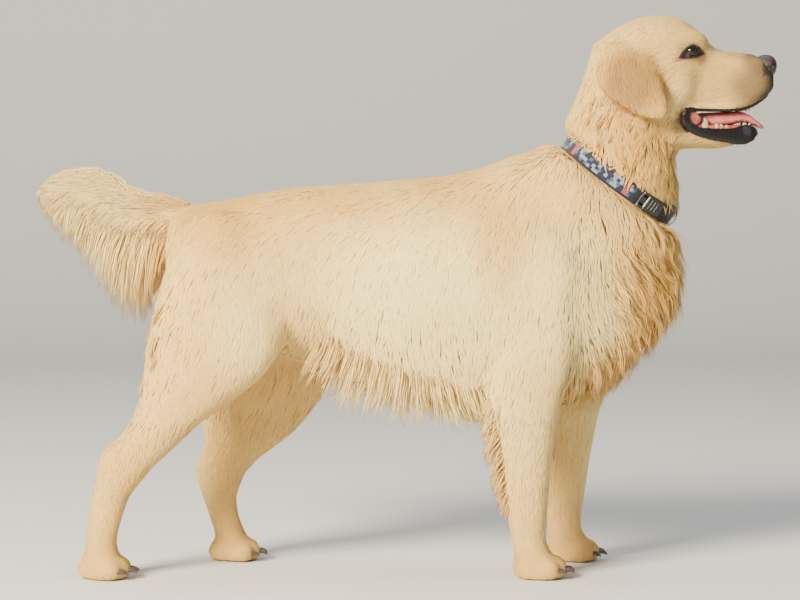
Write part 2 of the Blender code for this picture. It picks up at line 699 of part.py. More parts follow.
def add_teeth(body):
    """Joins the lower teeth to the jaw that they grow from."""
    for side in (-1, 1):
        for x, y, tip, radius in TEETH.values():
            bm = bmesh.new()
            place = Matrix.Translation((x, side * y, (TOOTH_ROOT + tip) / 2))
            bmesh.ops.create_cone(
                bm,
                cap_ends=True,
                segments=5,
                radius1=radius,
                radius2=radius * 0.3,
                depth=tip - TOOTH_ROOT,
                matrix=place,
            )
            tooth = object_from(bm, "tooth")
            boolean(body, tooth, "UNION")
            remove(tooth)


def fit_into_body(body, *cutters):
    for cutter in cutters:
        boolean(body, cutter, "DIFFERENCE")
        remove(cutter)


def led(outline, lead):
    """The outline of a leg that stands ahead by that lead."""
    return [(x + lead * share, z) for x, z, share in outline]


def below(heights):
    """Everything under a plane at those heights in front and behind."""
    front, back = heights
    return prism([(-FAR, -FAR), (FAR, -FAR), (FAR, front), (-FAR, back)])


def part_the_body(body):
    """Divides the body into its named pieces. What is left at the end is the trunk."""
    pieces = []
    for side, word in ((-1, "right"), (1, "left")):
        foreleg = led(FORELEG_OUTLINE, FAR_FORELEG_AHEAD[1][1] if side > 0 else 0.0)
        leg = part_off(body, f"foreleg_{word}", prism(foreleg, side, *FORELEG_INNER_PLANE))
        pieces += [leg, part_off(leg, f"forepaw_{word}", below(FOREPAW_TOP))]

        hind_leg = led(HIND_LEG_OUTLINE, FAR_STIFLE_AHEAD if side > 0 else 0.0)
        thigh = part_off(body, f"thigh_{word}", prism(hind_leg, side, *HIND_LEG_INNER_PLANE))
        shank = part_off(thigh, f"lower_hind_leg_{word}", prism(beyond(*SHANK_LINE, FAR)))
        pieces += [thigh, shank, part_off(shank, f"hind_paw_{word}", below(HIND_PAW_TOP))]

    neck = part_off(body, "neck", prism(beyond(*NECK_LINE, FAR)))
    head = part_off(neck, "head", prism(beyond(*HEAD_LINE, FAR)))
    jaw = part_off(head, "lower_jaw", prism(JAW_OUTLINE))
    return [*pieces, neck, head, jaw]


def paint(objects, name):
    for obj in objects:
        obj.data.materials.clear()
        obj.data.materials.append(material(name))
        obj.data.shade_smooth()
        obj.data.set_sharp_from_angle(angle=math.radians(40))


def build():
    clear_scene()
    body = flesh()
    band, buckle, ring = collar_pieces()
    groove = collar_band("groove", -COLLAR_THICKNESS / 2 - GAP, GROOVE_REACH, COLLAR_BAND / 2 + GAP)
    eyes = [eyeball(side) for side in (-1, 1)]
    nose = nose_pad()
    licker = tongue()
    fit_into_body(body, groove, grown(buckle), grown(ring), nose_pad(GAP), tongue(GAP))
    fit_into_body(body, *[eyeball(side, GAP) for side in (-1, 1)])
    add_teeth(body)

    room = grown(body)
    ears = [ear(side, room) for side in (-1, 1)]
    plume = tail(room)
    feathers = [foreleg_feather(side, room) for side in (-1, 1)]
    claws = [claw(paw, number, room) for paw in PAWS for number in range(len(TOES))]
    remove(room)

    pieces = part_the_body(body)
    paint([body, plume, *feathers, *pieces], "coat")
    paint(ears, "ear coat")
    paint([nose], "nose")
    paint([licker], "tongue")
    paint(eyes, "eye")
    paint(claws, "claw")
    paint([band], "collar")
    paint([buckle], "buckle")
    paint([ring], "ring")


build()
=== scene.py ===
import math

import bmesh
import bpy
import numpy as np
from mathutils import Matrix, Vector
from mathutils.bvhtree import BVHTree
from mathutils.kdtree import KDTree


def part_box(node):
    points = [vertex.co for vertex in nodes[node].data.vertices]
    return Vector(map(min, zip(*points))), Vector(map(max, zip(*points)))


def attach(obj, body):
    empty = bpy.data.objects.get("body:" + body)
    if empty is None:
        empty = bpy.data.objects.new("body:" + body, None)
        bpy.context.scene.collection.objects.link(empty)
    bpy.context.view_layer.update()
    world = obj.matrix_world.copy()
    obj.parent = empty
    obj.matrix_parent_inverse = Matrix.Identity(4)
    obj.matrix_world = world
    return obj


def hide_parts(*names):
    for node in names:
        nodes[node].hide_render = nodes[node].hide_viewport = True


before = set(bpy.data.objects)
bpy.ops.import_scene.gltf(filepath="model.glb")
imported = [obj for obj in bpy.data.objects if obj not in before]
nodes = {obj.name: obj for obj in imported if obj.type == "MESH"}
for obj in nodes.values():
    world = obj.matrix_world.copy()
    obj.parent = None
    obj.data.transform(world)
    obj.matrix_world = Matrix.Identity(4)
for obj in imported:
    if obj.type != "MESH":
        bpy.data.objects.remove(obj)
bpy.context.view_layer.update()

# A golden retriever in show pose, life size. Metres, +Z up, nose towards +X, the dog's left towards +Y.
bpy.ops.object.select_all(action="DESELECT")
chance = np.random.default_rng(20)

SIDES = ("right", "left")
SIGN = {"right": -1.0, "left": 1.0}
EYE = Vector((0.3950, 0.0415, 0.7303))
EYE_RADIUS = 0.0114
EYE_ROOM = 0.022  # further to the side than this, nothing belongs to the eye
# The collar's oval: the middle of its nape and throat, and its size.
COLLAR_NAPE = Vector((0.2245, 0.0, 0.6055))
COLLAR_THROAT = Vector((0.3720, 0.0, 0.4980))
COLLAR_HALF_WIDTH = 0.0765
COLLAR_SAG = 0.006
COLLAR_BAND = 0.025
COLLAR_THICKNESS = 0.0032
COLLAR_RADIUS = 0.085  # turns angles round the collar into lengths
FLOOR_GAP = 0.0012  # no hair hangs lower
SKIN_GRAIN = 0.0042  # side of the cells in which the skin is fused


def smooth_step(value, start, end):
    """0 before start, 1 after end and smooth between; start may lie after end."""
    share = np.clip((value - start) / (end - start), 0, 1)
    return share * share * (3 - 2 * share)


def unit(vectors):
    """Each vector at a length of one."""
    return vectors / np.maximum(np.linalg.norm(vectors, axis=-1, keepdims=True), 1e-9)


def square_to(normals, vectors):
    """The part of each vector that lies square to its normal."""
    return vectors - normals * (vectors * normals).sum(axis=-1, keepdims=True)


def read(table, column, at):
    """A column of a table against its first column, at those places."""
    rows = np.array(table)
    return np.interp(at, rows[:, 0], rows[:, column])


# Columns of the coat: place, x, distance from the middle plane, z, lie (forward, outward, up), then in
# millimetres length, depth over the skin and width of a tuft, then wave, freedom to hang and clumping.
COAT = [
    ("muzzle top", 0.480, 0.000, 0.730, -1.00, 0.0, 0.10, 7, 0.9, 1.7, 0.0, 0.00, 0.10),
    ("muzzle side", 0.460, 0.037, 0.690, -0.90, 0.0, -0.35, 8, 0.9, 1.7, 0.0, 0.00, 0.10),
    ("whisker pad", 0.488, 0.028, 0.675, -0.80, 0.2, -0.50, 7, 0.9, 1.6, 0.0, 0.00, 0.10),
    ("lip side", 0.430, 0.042, 0.660, -0.80, 0.0, -0.60, 10, 1.0, 2.0, 0.0, 0.00, 0.10),
    ("chin", 0.450, 0.020, 0.600, -0.90, 0.0, -0.30, 11, 1.1, 2.0, 0.0, 0.00, 0.20),
    ("jaw back", 0.385, 0.040, 0.605, -0.80, 0.0, -0.50, 16, 1.7, 2.2, 0.0, 0.00, 0.20),
    ("stop", 0.415, 0.000, 0.745, -0.70, 0.0, 0.70, 8, 0.9, 1.7, 0.0, 0.00, 0.10),
    ("nose bridge side", 0.440, 0.026, 0.722, -1.00, 0.1, -0.10, 8, 0.9, 1.7, 0.0, 0.00, 0.10),
    ("forehead", 0.385, 0.000, 0.775, -1.00, 0.0, 0.10, 11, 1.0, 2.1, 0.0, 0.00, 0.10),
    ("above eye", 0.397, 0.035, 0.752, -0.80, 0.2, 0.40, 8, 0.9, 1.7, 0.0, 0.00, 0.10),
    ("below eye", 0.395, 0.050, 0.707, -0.80, 0.0, -0.50, 11, 0.9, 2.0, 0.0, 0.00, 0.10),
    ("temple", 0.355, 0.055, 0.735, -1.00, 0.0, -0.30, 14, 1.1, 2.1, 0.0, 0.00, 0.10),
    ("crown side", 0.330, 0.045, 0.765, -1.00, 0.1, -0.10, 14, 1.3, 2.1, 0.0, 0.00, 0.10),
    ("crown", 0.325, 0.000, 0.780, -1.00, 0.0, -0.10, 15, 1.3, 2.2, 0.0, 0.00, 0.10),
    ("back of skull", 0.265, 0.020, 0.735, -0.75, 0.1, -0.60, 24, 1.7, 2.2, 0.1, 0.00, 0.20),
    ("cheek", 0.355, 0.060, 0.670, -0.60, 0.0, -0.75, 19, 1.4, 2.2, 0.0, 0.00, 0.20),
    ("cheek back", 0.325, 0.065, 0.640, -0.50, 0.0, -0.85, 27, 4.7, 2.8, 0.4, 0.00, 0.50),
    ("ear top", 0.305, 0.060, 0.735, -0.25, 0.3, -0.90, 15, 0.9, 2.2, 0.0, 0.00, 0.10),
    ("ear middle", 0.310, 0.080, 0.690, 0.05, 0.1, -1.00, 17, 0.9, 2.6, 0.1, 0.00, 0.20),
    ("ear rear", 0.265, 0.075, 0.690, -0.20, 0.0, -1.00, 28, 1.6, 2.1, 0.5, 0.12, 0.50),
    ("ear tip", 0.340, 0.082, 0.645, 0.35, 0.0, -0.90, 16, 0.9, 2.2, 0.1, 0.12, 0.20),
    ("behind ear", 0.265, 0.066, 0.645, -0.30, 0.0, -0.95, 36, 6.6, 2.6, 0.8, 0.06, 0.70),
    ("nape top", 0.235, 0.030, 0.670, -0.55, 0.0, -0.80, 36, 5.0, 2.8, 0.1, 0.00, 0.20),
    ("nape", 0.215, 0.020, 0.620, -0.65, 0.0, -0.75, 34, 5.0, 2.8, 0.1, 0.00, 0.20),
    ("throat", 0.368, 0.012, 0.600, -0.10, 0.0, -1.00, 32, 5.3, 2.6, 0.3, 0.00, 0.40),
    ("throat front", 0.378, 0.015, 0.560, 0.10, 0.0, -1.00, 40, 7.8, 2.2, 0.4, 0.15, 0.50),
    ("throat side", 0.345, 0.060, 0.590, -0.05, 0.0, -1.00, 44, 7.8, 2.3, 0.9, 0.08, 0.80),
    ("neck side", 0.290, 0.075, 0.590, -0.05, 0.0, -1.00, 40, 7.0, 2.8, 0.8, 0.06, 0.70),
    ("withers", 0.160, 0.000, 0.585, -1.00, 0.0, -0.20, 40, 1.6, 2.8, 0.0, 0.00, 0.20),
    ("neck root side", 0.210, 0.080, 0.540, -0.30, 0.0, -0.95, 40, 1.6, 2.9, 0.1, 0.00, 0.20),
    ("shoulder", 0.190, 0.110, 0.450, -0.10, 0.0, -1.00, 38, 1.6, 2.9, 0.0, 0.00, 0.20),
    ("neck base side", 0.270, 0.095, 0.490, 0.15, 0.0, -1.00, 46, 11.0, 2.5, 0.6, 0.00, 0.60),
    ("chest side", 0.330, 0.075, 0.420, 0.45, 0.0, -0.90, 54, 15.0, 2.7, 1.0, 0.10, 0.85),
    ("chest low side", 0.290, 0.085, 0.340, 0.50, 0.0, -0.85, 50, 14.0, 2.7, 0.9, 0.10, 0.80),
    ("prow", 0.380, 0.000, 0.430, 0.50, 0.0, -0.85, 50, 17.0, 2.7, 0.9, 0.20, 0.85),
    ("throat root", 0.370, 0.020, 0.485, 0.60, 0.0, -0.80, 46, 13.0, 2.6, 0.8, 0.10, 0.80),
    ("lower chest", 0.300, 0.040, 0.275, 0.45, 0.0, -0.90, 48, 18.0, 2.7, 0.7, 0.40, 0.85),
    ("between forelegs", 0.200, 0.000, 0.225, 0.20, 0.0, -0.95, 40, 14.0, 2.7, 0.3, 0.40, 0.60),
    ("back", 0.000, 0.000, 0.552, -1.00, 0.0, 0.00, 40, 1.6, 2.9, 0.0, 0.00, 0.20),
    ("rear back", -0.200, 0.000, 0.535, -1.00, 0.0, 0.00, 40, 1.6, 2.9, 0.0, 0.00, 0.20),
    ("upper ribs", 0.050, 0.090, 0.510, -0.55, 0.0, -0.80, 38, 1.6, 2.9, 0.0, 0.00, 0.20),
    ("ribs", 0.050, 0.118, 0.420, -0.20, 0.0, -1.00, 38, 1.6, 2.9, 0.0, 0.00, 0.20),
    ("low ribs", 0.050, 0.112, 0.310, 0.12, 0.0, -1.00, 42, 5.9, 3.0, 0.1, 0.00, 0.40),
    ("belly", 0.030, 0.040, 0.240, 0.10, 0.0, -1.00, 46, 18.0, 2.6, 0.2, 0.50, 0.70),
    ("belly rear", -0.110, 0.050, 0.285, -0.35, 0.0, -1.00, 42, 15.0, 2.6, 0.2, 0.40, 0.60),
    ("flank", -0.120, 0.100, 0.420, -0.35, 0.0, -0.95, 38, 1.6, 2.9, 0.0, 0.00, 0.20),
    ("loin low", -0.110, 0.085, 0.320, -0.25, 0.0, -1.00, 42, 6.6, 3.0, 0.1, 0.10, 0.40),
    ("upper flank", -0.120, 0.080, 0.510, -0.75, 0.0, -0.60, 38, 1.6, 2.9, 0.0, 0.00, 0.20),
    ("rump", -0.270, 0.070, 0.490, -0.65, 0.0, -0.70, 36, 1.6, 2.9, 0.1, 0.00, 0.20),
    ("rump top", -0.280, 0.000, 0.520, -1.00, 0.0, -0.10, 34, 1.6, 2.9, 0.1, 0.00, 0.20),
    ("thigh", -0.250, 0.105, 0.380, -0.25, 0.0, -1.00, 36, 1.6, 2.9, 0.0, 0.00, 0.20),
    ("thigh front", -0.180, 0.105, 0.330, -0.10, 0.0, -1.00, 34, 1.6, 2.9, 0.1, 0.00, 0.30),
    ("inner thigh", -0.220, 0.030, 0.300, -0.20, 0.0, -1.00, 28, 4.0, 3.2, 0.0, 0.00, 0.20),
    ("breeches", -0.345, 0.060, 0.360, -0.40, 0.0, -0.95, 46, 7.3, 3.0, 0.2, 0.10, 0.50),
    ("low breeches", -0.350, 0.080, 0.290, -0.35, 0.0, -0.95, 36, 5.3, 2.9, 0.1, 0.00, 0.40),
    ("buttock", -0.335, 0.020, 0.440, -0.50, 0.0, -0.90, 42, 6.6, 3.0, 0.2, 0.10, 0.40),
    ("second thigh", -0.300, 0.095, 0.250, -0.40, 0.0, -0.90, 28, 1.1, 2.6, 0.0, 0.00, 0.20),
    ("hock", -0.380, 0.090, 0.160, -0.25, 0.0, -1.00, 18, 0.8, 2.6, 0.0, 0.00, 0.20),
    ("rear pastern", -0.420, 0.090, 0.090, 0.00, 0.0, -1.00, 14, 0.8, 2.1, 0.0, 0.00, 0.20),
    ("hind paw", -0.410, 0.090, 0.030, 0.50, 0.0, -0.60, 10, 0.8, 1.7, 0.0, 0.00, 0.10),
    ("foreleg front", 0.195, 0.085, 0.200, 0.05, 0.0, -1.00, 20, 0.8, 2.8, 0.0, 0.00, 0.20),
    ("foreleg outer", 0.165, 0.110, 0.200, -0.25, 0.0, -1.00, 22, 1.0, 2.8, 0.0, 0.00, 0.20),
    ("foreleg inner", 0.165, 0.060, 0.200, -0.25, 0.0, -1.00, 22, 1.0, 2.8, 0.0, 0.00, 0.20),
    ("upper arm", 0.180, 0.110, 0.310, -0.15, 0.0, -1.00, 35, 2.2, 2.8, 0.0, 0.00, 0.20),
    ("elbow", 0.118, 0.100, 0.265, -0.35, 0.0, -0.95, 40, 4.7, 2.9, 0.1, 0.20, 0.40),
    ("knee", 0.170, 0.085, 0.090, -0.05, 0.0, -1.00, 16, 0.8, 2.2, 0.0, 0.00, 0.20),
    ("forepaw", 0.180, 0.085, 0.030, 0.60, 0.0, -0.50, 10, 0.8, 1.7, 0.0, 0.00, 0.10),
    ("tail root", -0.320, 0.000, 0.520, -1.00, 0.0, 0.00, 38, 4.7, 2.9, 0.1, 0.00, 0.30),
]
GUIDE_AT = np.array([row[1:4] for row in COAT])
GUIDE_LIE = unit(np.array([row[4:7] for row in COAT]))
GUIDE_SIZE = np.array([row[7:13] for row in COAT])
GUIDE_SIZE[:, :3] /= 1000
GUIDE_BLEND = 0.00012  # the larger, the wider the rows of the table blend
LENGTH, DEPTH, WIDTH, WAVE, FREE, CLUMP = range(6)

# How far the far legs stand ahead of the near ones: heights, then leads.
FORELEG_LEAD = ((0.0, 0.24, 0.43), (0.055, 0.072, 0.0))
HIND_LEG_LEAD = ((0.0, 0.16, 0.30, 0.42), (0.170, 0.125, 0.075, 0.0))


def beside(points):
    """The points as if on the near legs: |y| for y, and the far legs drawn back level with the near ones."""
    x, y, z = points.T
    left = smooth_step(y, 0.0, 0.03)
    front = left * np.interp(z, *FORELEG_LEAD) * smooth_step(x, -0.02, 0.06) * smooth_step(z, 0.43, 0.26)
    rear = left * np.interp(z, *HIND_LEG_LEAD) * smooth_step(x, -0.04, -0.12)
    return np.stack([x - front - rear, np.abs(y), z], axis=1)


def coat_at(points):
    """The lie of the coat and its sizes at each point."""
    at = beside(points)
    gap = (at**2).sum(axis=1)[:, None] + (GUIDE_AT**2).sum(axis=1)[None] - 2 * at @ GUIDE_AT.T
    weight = 1 / (np.maximum(gap, 0) + GUIDE_BLEND) ** 2
    weight /= weight.sum(axis=1)[:, None]
    lie = weight @ GUIDE_LIE
    lie[:, 1] *= np.sign(points[:, 1])
    return unit(lie), weight @ GUIDE_SIZE


def rows_of(parts, key="co", width=3, kind=float):
    """What the vertices, edges or other parts of a mesh hold, a row each."""
    flat = np.empty(len(parts) * width, dtype=kind)
    parts.foreach_get(key, flat)
    return flat.reshape(-1, width)


def link(name, data):
    """A new object in the scene."""
    obj = bpy.data.objects.new(name, data)
    bpy.context.scene.collection.objects.link(obj)
    return obj


def give(mesh, values):
    """Numbers on the points of a mesh, which its material reads."""
    for key, value in values.items():
        mesh.attributes.new(key, "FLOAT", "POINT").data.foreach_set("value", value.astype(np.float32))


def ride_as(obj, replaced=()):
    """Says what a finished piece moves with and which nodes it stands for, and hides those nodes."""
    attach(obj, "root")
    if replaced:
        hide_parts(*replaced)
    return obj


def copy_of(name, grow):
    """A node's own shape as a bmesh, with its doubled points merged and grown along its normals."""
    bm = bmesh.new()
    bm.from_mesh(nodes[name].data)
    bmesh.ops.transform(bm, matrix=nodes[name].matrix_world, verts=bm.verts)
    bmesh.ops.remove_doubles(bm, verts=bm.verts, dist=0.00002)
    bm.normal_update()
    moves = [(v, v.normal * grow) for v in bm.verts]
    for v, move in moves:
        v.co += move
    return bm


def add_bmesh(into, bm):
    """Moves the shape of one bmesh into another."""
    made = bpy.data.meshes.new("part")
    bm.to_mesh(made)
    bm.free()
    into.from_mesh(made)
    bpy.data.meshes.remove(made)


def remeshed(bm, name):
    """One closed mesh round all that overlaps in bm, smoothed."""
    mesh = bpy.data.meshes.new(name)
    bm.to_mesh(mesh)
    bm.free()
    obj = link(name, mesh)
    remesh = obj.modifiers.new("fuse", "REMESH")
    remesh.mode = "VOXEL"
    remesh.voxel_size = SKIN_GRAIN
    soften = obj.modifiers.new("soften", "SMOOTH")
    soften.factor = 0.5
    soften.iterations = 2
    done = obj.evaluated_get(bpy.context.evaluated_depsgraph_get())
    result = bpy.data.meshes.new_from_object(done)
    bpy.data.objects.remove(obj)
    bpy.data.meshes.remove(mesh)
    return result


def turns(count):
    """The cosine and sine of equal turns round a circle."""
    return [(math.cos(2 * math.pi * k / count), math.sin(2 * math.pi * k / count)) for k in range(count)]


def boxy(value, power):
    """A cosine or sine raised to a power below 1, which swells an oval towards a box."""
    return math.copysign(abs(value) ** power, value)


def bell(value, width):
    """1 where the value is 0, falling off smoothly on both sides."""
    return math.exp(-((value / width) ** 2))


def loft(bm, rings, round_it=False):
    """Faces between rings of points, with the ends closed; round_it joins the last ring to the first."""
    made = [[bm.verts.new(point) for point in ring] for ring in rings]
    pairs = list(zip(made, made[1:])) + ([(made[-1], made[0])] if round_it else [])
    for ring, after in pairs:
        for i in range(len(ring)):
            j = (i + 1) % len(ring)
            bm.faces.new((ring[i], ring[j], after[j], after[i]))
    if not round_it:
        bm.faces.new(made[0][::-1])
        bm.faces.new(made[-1])


def runs(points):
    """The way along a path of points at each of them."""
    padded = [Vector(point) for point in (points[0], *points, points[-1])]
    return [(after - before).normalized() for before, after in zip(padded, padded[2:])]


def tube(bm, path, sides=14):
    """A closed round tube along (x, y, z, radius) points, added to bm."""
    rings = []
    for (*at, radius), run in zip(path, runs([point[:3] for point in path])):
        out = run.cross(Vector((0.0, 1.0, 0.0))).normalized()
        across = run.cross(out)
        rings.append([Vector(at) + out * (radius * c) + across * (radius * s) for c, s in turns(sides)])
    loft(bm, rings)


def ball(bm, centre, radii, turn=0.0, detail=16):
    """A closed ball or egg, added to bm."""
    matrix = Matrix.Translation(centre) @ Matrix.Rotation(turn, 4, "Z") @ Matrix.Diagonal((*radii, 1))
    rows = detail // 2
    poles = [bm.verts.new(matrix @ Vector((0.0, 0.0, z))) for z in (-1.0, 1.0)]
    rings = []
    for row in range(1, rows):
        high, wide = -math.cos(math.pi * row / rows), math.sin(math.pi * row / rows)
        rings.append([bm.verts.new(matrix @ Vector((wide * c, wide * s, high))) for c, s in turns(detail)])
    for k in range(detail):
        after = (k + 1) % detail
        bm.faces.new((poles[0], rings[0][after], rings[0][k]))
        bm.faces.new((poles[1], rings[-1][k], rings[-1][after]))
        for ring, above in zip(rings, rings[1:]):
            bm.faces.new((ring[k], ring[after], above[after], above[k]))


def collar_frame():
    """The middle of the collar's oval, the ways to the throat and up the neck, and half its length."""
    centre = (COLLAR_NAPE + COLLAR_THROAT) / 2
    down = (COLLAR_THROAT - COLLAR_NAPE).normalized()
    up_neck = Vector((-down.z, 0.0, down.x)).normalized()
    return centre, down, up_neck, (COLLAR_THROAT - COLLAR_NAPE).length / 2


def collar_point(angle, out, up):
    """A point at that angle from the throat round the neck, out from the collar's oval and up the neck."""
    centre, down, up_neck, half_length = collar_frame()
    along = math.cos(angle) * (half_length + out)
    across = math.sin(angle) * (COLLAR_HALF_WIDTH + out)
    rise = up - COLLAR_SAG * math.sin(angle) ** 2
    return centre + down * along + Vector((0.0, across, 0.0)) + up_neck * rise


def collar_place(points):
    """For each point: how far round, out from and up the neck from the collar's oval."""
    centre, down, up_neck, half_length = collar_frame()
    off = points - np.array(centre)
    along = off @ np.array(down)
    angle = np.arctan2(off[:, 1] / COLLAR_HALF_WIDTH, along / half_length)
    radius = np.hypot(along, off[:, 1])
    oval = np.hypot(np.cos(angle) * half_length, np.sin(angle) * COLLAR_HALF_WIDTH)
    return angle, radius - oval, off @ np.array(up_neck) + COLLAR_SAG * np.sin(angle) ** 2


# Patches of tan in the cream coat, some of them painted shade (under the throat, the thigh's shadow on the
# flank, between the chest's locks): place, x, distance from the middle plane, z, three radii, strength.
TAN = [
    ("ear", 0.312, 0.078, 0.695, 0.062, 0.034, 0.066, 1.0),
    ("behind ear", 0.275, 0.070, 0.625, 0.060, 0.050, 0.060, 0.60),
    ("throat shade", 0.330, 0.060, 0.590, 0.060, 0.050, 0.070, 0.75),
    ("rump", -0.245, 0.060, 0.500, 0.080, 0.080, 0.050, 0.75),
    ("rear back", -0.190, 0.030, 0.530, 0.120, 0.080, 0.030, 0.55),
    ("tail root", -0.325, 0.000, 0.480, 0.025, 0.050, 0.065, 0.30),
    ("mid back", 0.075, 0.020, 0.550, 0.070, 0.090, 0.050, 0.60),
    ("shoulder", 0.130, 0.100, 0.490, 0.035, 0.050, 0.090, 0.50),
    # Painted shadow of the thigh on the flank, in tan.
    ("flank", -0.150, 0.100, 0.370, 0.045, 0.050, 0.050, 0.36),
    ("loin", -0.060, 0.060, 0.530, 0.070, 0.060, 0.030, 0.50),
    # Tan on the chest that is partly painted shade between its locks.
    ("chest", 0.345, 0.060, 0.410, 0.060, 0.070, 0.100, 0.70),
    ("lower chest", 0.290, 0.050, 0.300, 0.050, 0.080, 0.060, 0.40),
    ("muzzle side", 0.450, 0.040, 0.695, 0.040, 0.020, 0.030, 0.45),
    ("brow", 0.398, 0.030, 0.752, 0.016, 0.016, 0.010, 0.35),
    ("cheek", 0.380, 0.055, 0.690, 0.040, 0.030, 0.040, 0.15),
    ("forepaw", 0.190, 0.085, 0.020, 0.060, 0.050, 0.035, 0.40),
    ("hind paw", -0.410, 0.090, 0.030, 0.050, 0.050, 0.050, 0.40),
    ("hock", -0.390, 0.090, 0.160, 0.040, 0.050, 0.060, 0.30),
    ("elbow", 0.140, 0.100, 0.260, 0.040, 0.050, 0.060, 0.12),
]
# The whole coat is this much golden, but for these paler parts.
GOLD = 0.62
PALE = [
    ("ribs", 0.030, 0.110, 0.390, 0.190, 0.085, 0.130, 0.95),
    ("shoulder front", 0.225, 0.100, 0.400, 0.070, 0.070, 0.120, 0.85),
    ("belly", 0.020, 0.060, 0.250, 0.190, 0.120, 0.070, 1.0),
    ("thigh front", -0.200, 0.100, 0.360, 0.070, 0.060, 0.090, 0.60),
    ("tail", -0.440, 0.000, 0.500, 0.130, 0.080, 0.150, 1.0),
    ("foreleg front", 0.190, 0.090, 0.200, 0.050, 0.050, 0.140, 0.45),
    ("cheek", 0.385, 0.060, 0.672, 0.030, 0.030, 0.026, 0.50),
]
# Dark skin and hair about the nose, along the lips and round the eyes, and painted shadow in front of the
# ears.
DARK = [
    ("muzzle front", 0.513, 0.000, 0.690, 0.024, 0.026, 0.030, 1.0),
    ("lip front", 0.505, 0.012, 0.668, 0.016, 0.022, 0.013, 0.9),
    ("nose bridge", 0.494, 0.000, 0.728, 0.022, 0.022, 0.012, 0.75),
    ("behind nose", 0.490, 0.018, 0.712, 0.024, 0.018, 0.024, 0.66),
    ("whisker pad", 0.490, 0.030, 0.680, 0.042, 0.026, 0.036, 0.68),
    ("tear line", 0.4135, 0.036, 0.722, 0.010, 0.012, 0.011, 0.55),
    ("brow spot", 0.400, 0.034, 0.7465, 0.008, 0.010, 0.006, 0.40),
    ("eye rim", 0.3945, 0.046, 0.7300, 0.0190, 0.014, 0.0125, 0.70),
    ("mouth corner", 0.389, 0.043, 0.636, 0.014, 0.012, 0.020, 0.85),
    ("muzzle top", 0.472, 0.010, 0.728, 0.040, 0.024, 0.014, 0.34),
    ("eye socket", 0.404, 0.042, 0.733, 0.024, 0.018, 0.020, 0.24),
    ("ear middle", 0.308, 0.082, 0.695, 0.044, 0.026, 0.054, 0.50),
    # Painted shadow of the ear's front edge on the cheek, not dark hair.
    ("before the ear", 0.346, 0.066, 0.716, 0.011, 0.022, 0.022, 0.22),
    ("before the ear", 0.367, 0.066, 0.668, 0.011, 0.022, 0.030, 0.24),
]

# The edge of the upper lip: x, z, distance out, thickness.
UPPER_LIP = [
    (0.3880, 0.6505, 0.0415, 0.0022),
    (0.3980, 0.6500, 0.0400, 0.0019),
    (0.4150, 0.6495, 0.0372, 0.0017),
    (0.4350, 0.6490, 0.0355, 0.0016),
    (0.4550, 0.6490, 0.0340, 0.0016),
    (0.4700, 0.6510, 0.0318, 0.0018),
    (0.4820, 0.6550, 0.0278, 0.0020),
    (0.4930, 0.6610, 0.0212, 0.0022),
    (0.5010, 0.6665, 0.0135, 0.0024),
    (0.5055, 0.6700, 0.0055, 0.0024),
    (0.5062, 0.6708, 0.0000, 0.0022),
]
# The dark lower lip as seen from the side: its outer and inner edge, each x and z, and its distance out.
LOWER_LIP = [
    (0.4060, 0.6512, 0.4068, 0.6500, 0.0388, 0.0014),
    (0.3925, 0.6532, 0.3985, 0.6492, 0.0412, 0.0030),
    (0.3832, 0.6440, 0.3945, 0.6440, 0.0428, 0.0044),
    (0.3832, 0.6340, 0.3945, 0.6385, 0.0426, 0.0050),
    (0.3865, 0.6255, 0.3975, 0.6330, 0.0418, 0.0052),
    (0.3980, 0.6160, 0.4070, 0.6255, 0.0392, 0.0045),
    (0.4190, 0.6090, 0.4220, 0.6240, 0.0350, 0.0040),
    (0.4395, 0.6048, 0.4400, 0.6236, 0.0322, 0.0040),
    (0.4560, 0.6018, 0.4560, 0.6240, 0.0302, 0.0040),
    (0.4700, 0.6008, 0.4690, 0.6280, 0.0272, 0.0042),
    (0.4820, 0.6040, 0.4800, 0.6285, 0.0222, 0.0044),
    (0.4900, 0.6105, 0.4870, 0.6265, 0.0150, 0.0046),
    (0.4935, 0.6150, 0.4900, 0.6250, 0.0070, 0.0046),
    (0.4945, 0.6160, 0.4910, 0.6245, 0.0000, 0.0046),
]

# The opening between the lids, from the middle of the eye: forward and up, in millimetres.
LID_OUTLINE = np.array([
    (14.5, -2.2), (11.0, 1.6), (6.0, 5.6), (1.2, 7.6), (-3.5, 5.4), (-8.0, 1.4), (-12.0, -3.4), (-14.8, -7.6),
    (-10.0, -7.8), (-4.0, -7.2), (2.0, -6.7), (8.5, -5.4),
]) / 1000
LID_TURNS = np.arctan2(LID_OUTLINE[:, 1], LID_OUTLINE[:, 0])
LID_REACH = np.linalg.norm(LID_OUTLINE, axis=1)
GAZE = Vector((0.42, 0.90, 0.06)).normalized()


def eye_reach(points):
    """How far each point lies from the eye's middle as a share of the opening there, seen from the side."""
    forward, rise = points[:, 0] - EYE.x, points[:, 2] - EYE.z
    edge = np.interp(np.arctan2(rise, forward), LID_TURNS, LID_REACH, period=2 * math.pi)
    away = np.abs(np.abs(points[:, 1]) - EYE.y) > EYE_ROOM
    return np.hypot(forward, rise) / edge + np.where(away, 9.0, 0.0)


def ripple(points, scale, seed):
    """A cheap smooth pattern between -1 and 1, of about that wavelength."""
    p = points * (2 * math.pi / scale)
    a = np.sin(p[:, 0] * 1.0 + p[:, 1] * 0.7 - p[:, 2] * 0.4 + seed)
    b = np.sin(p[:, 1] * 1.3 - p[:, 0] * 0.6 + p[:, 2] * 0.9 + 2.1 * seed)
    c = np.sin(p[:, 2] * 1.7 + p[:, 0] * 0.9 + p[:, 1] * 0.5 + 3.7 * seed + a)
    return (a + b + c) / 3


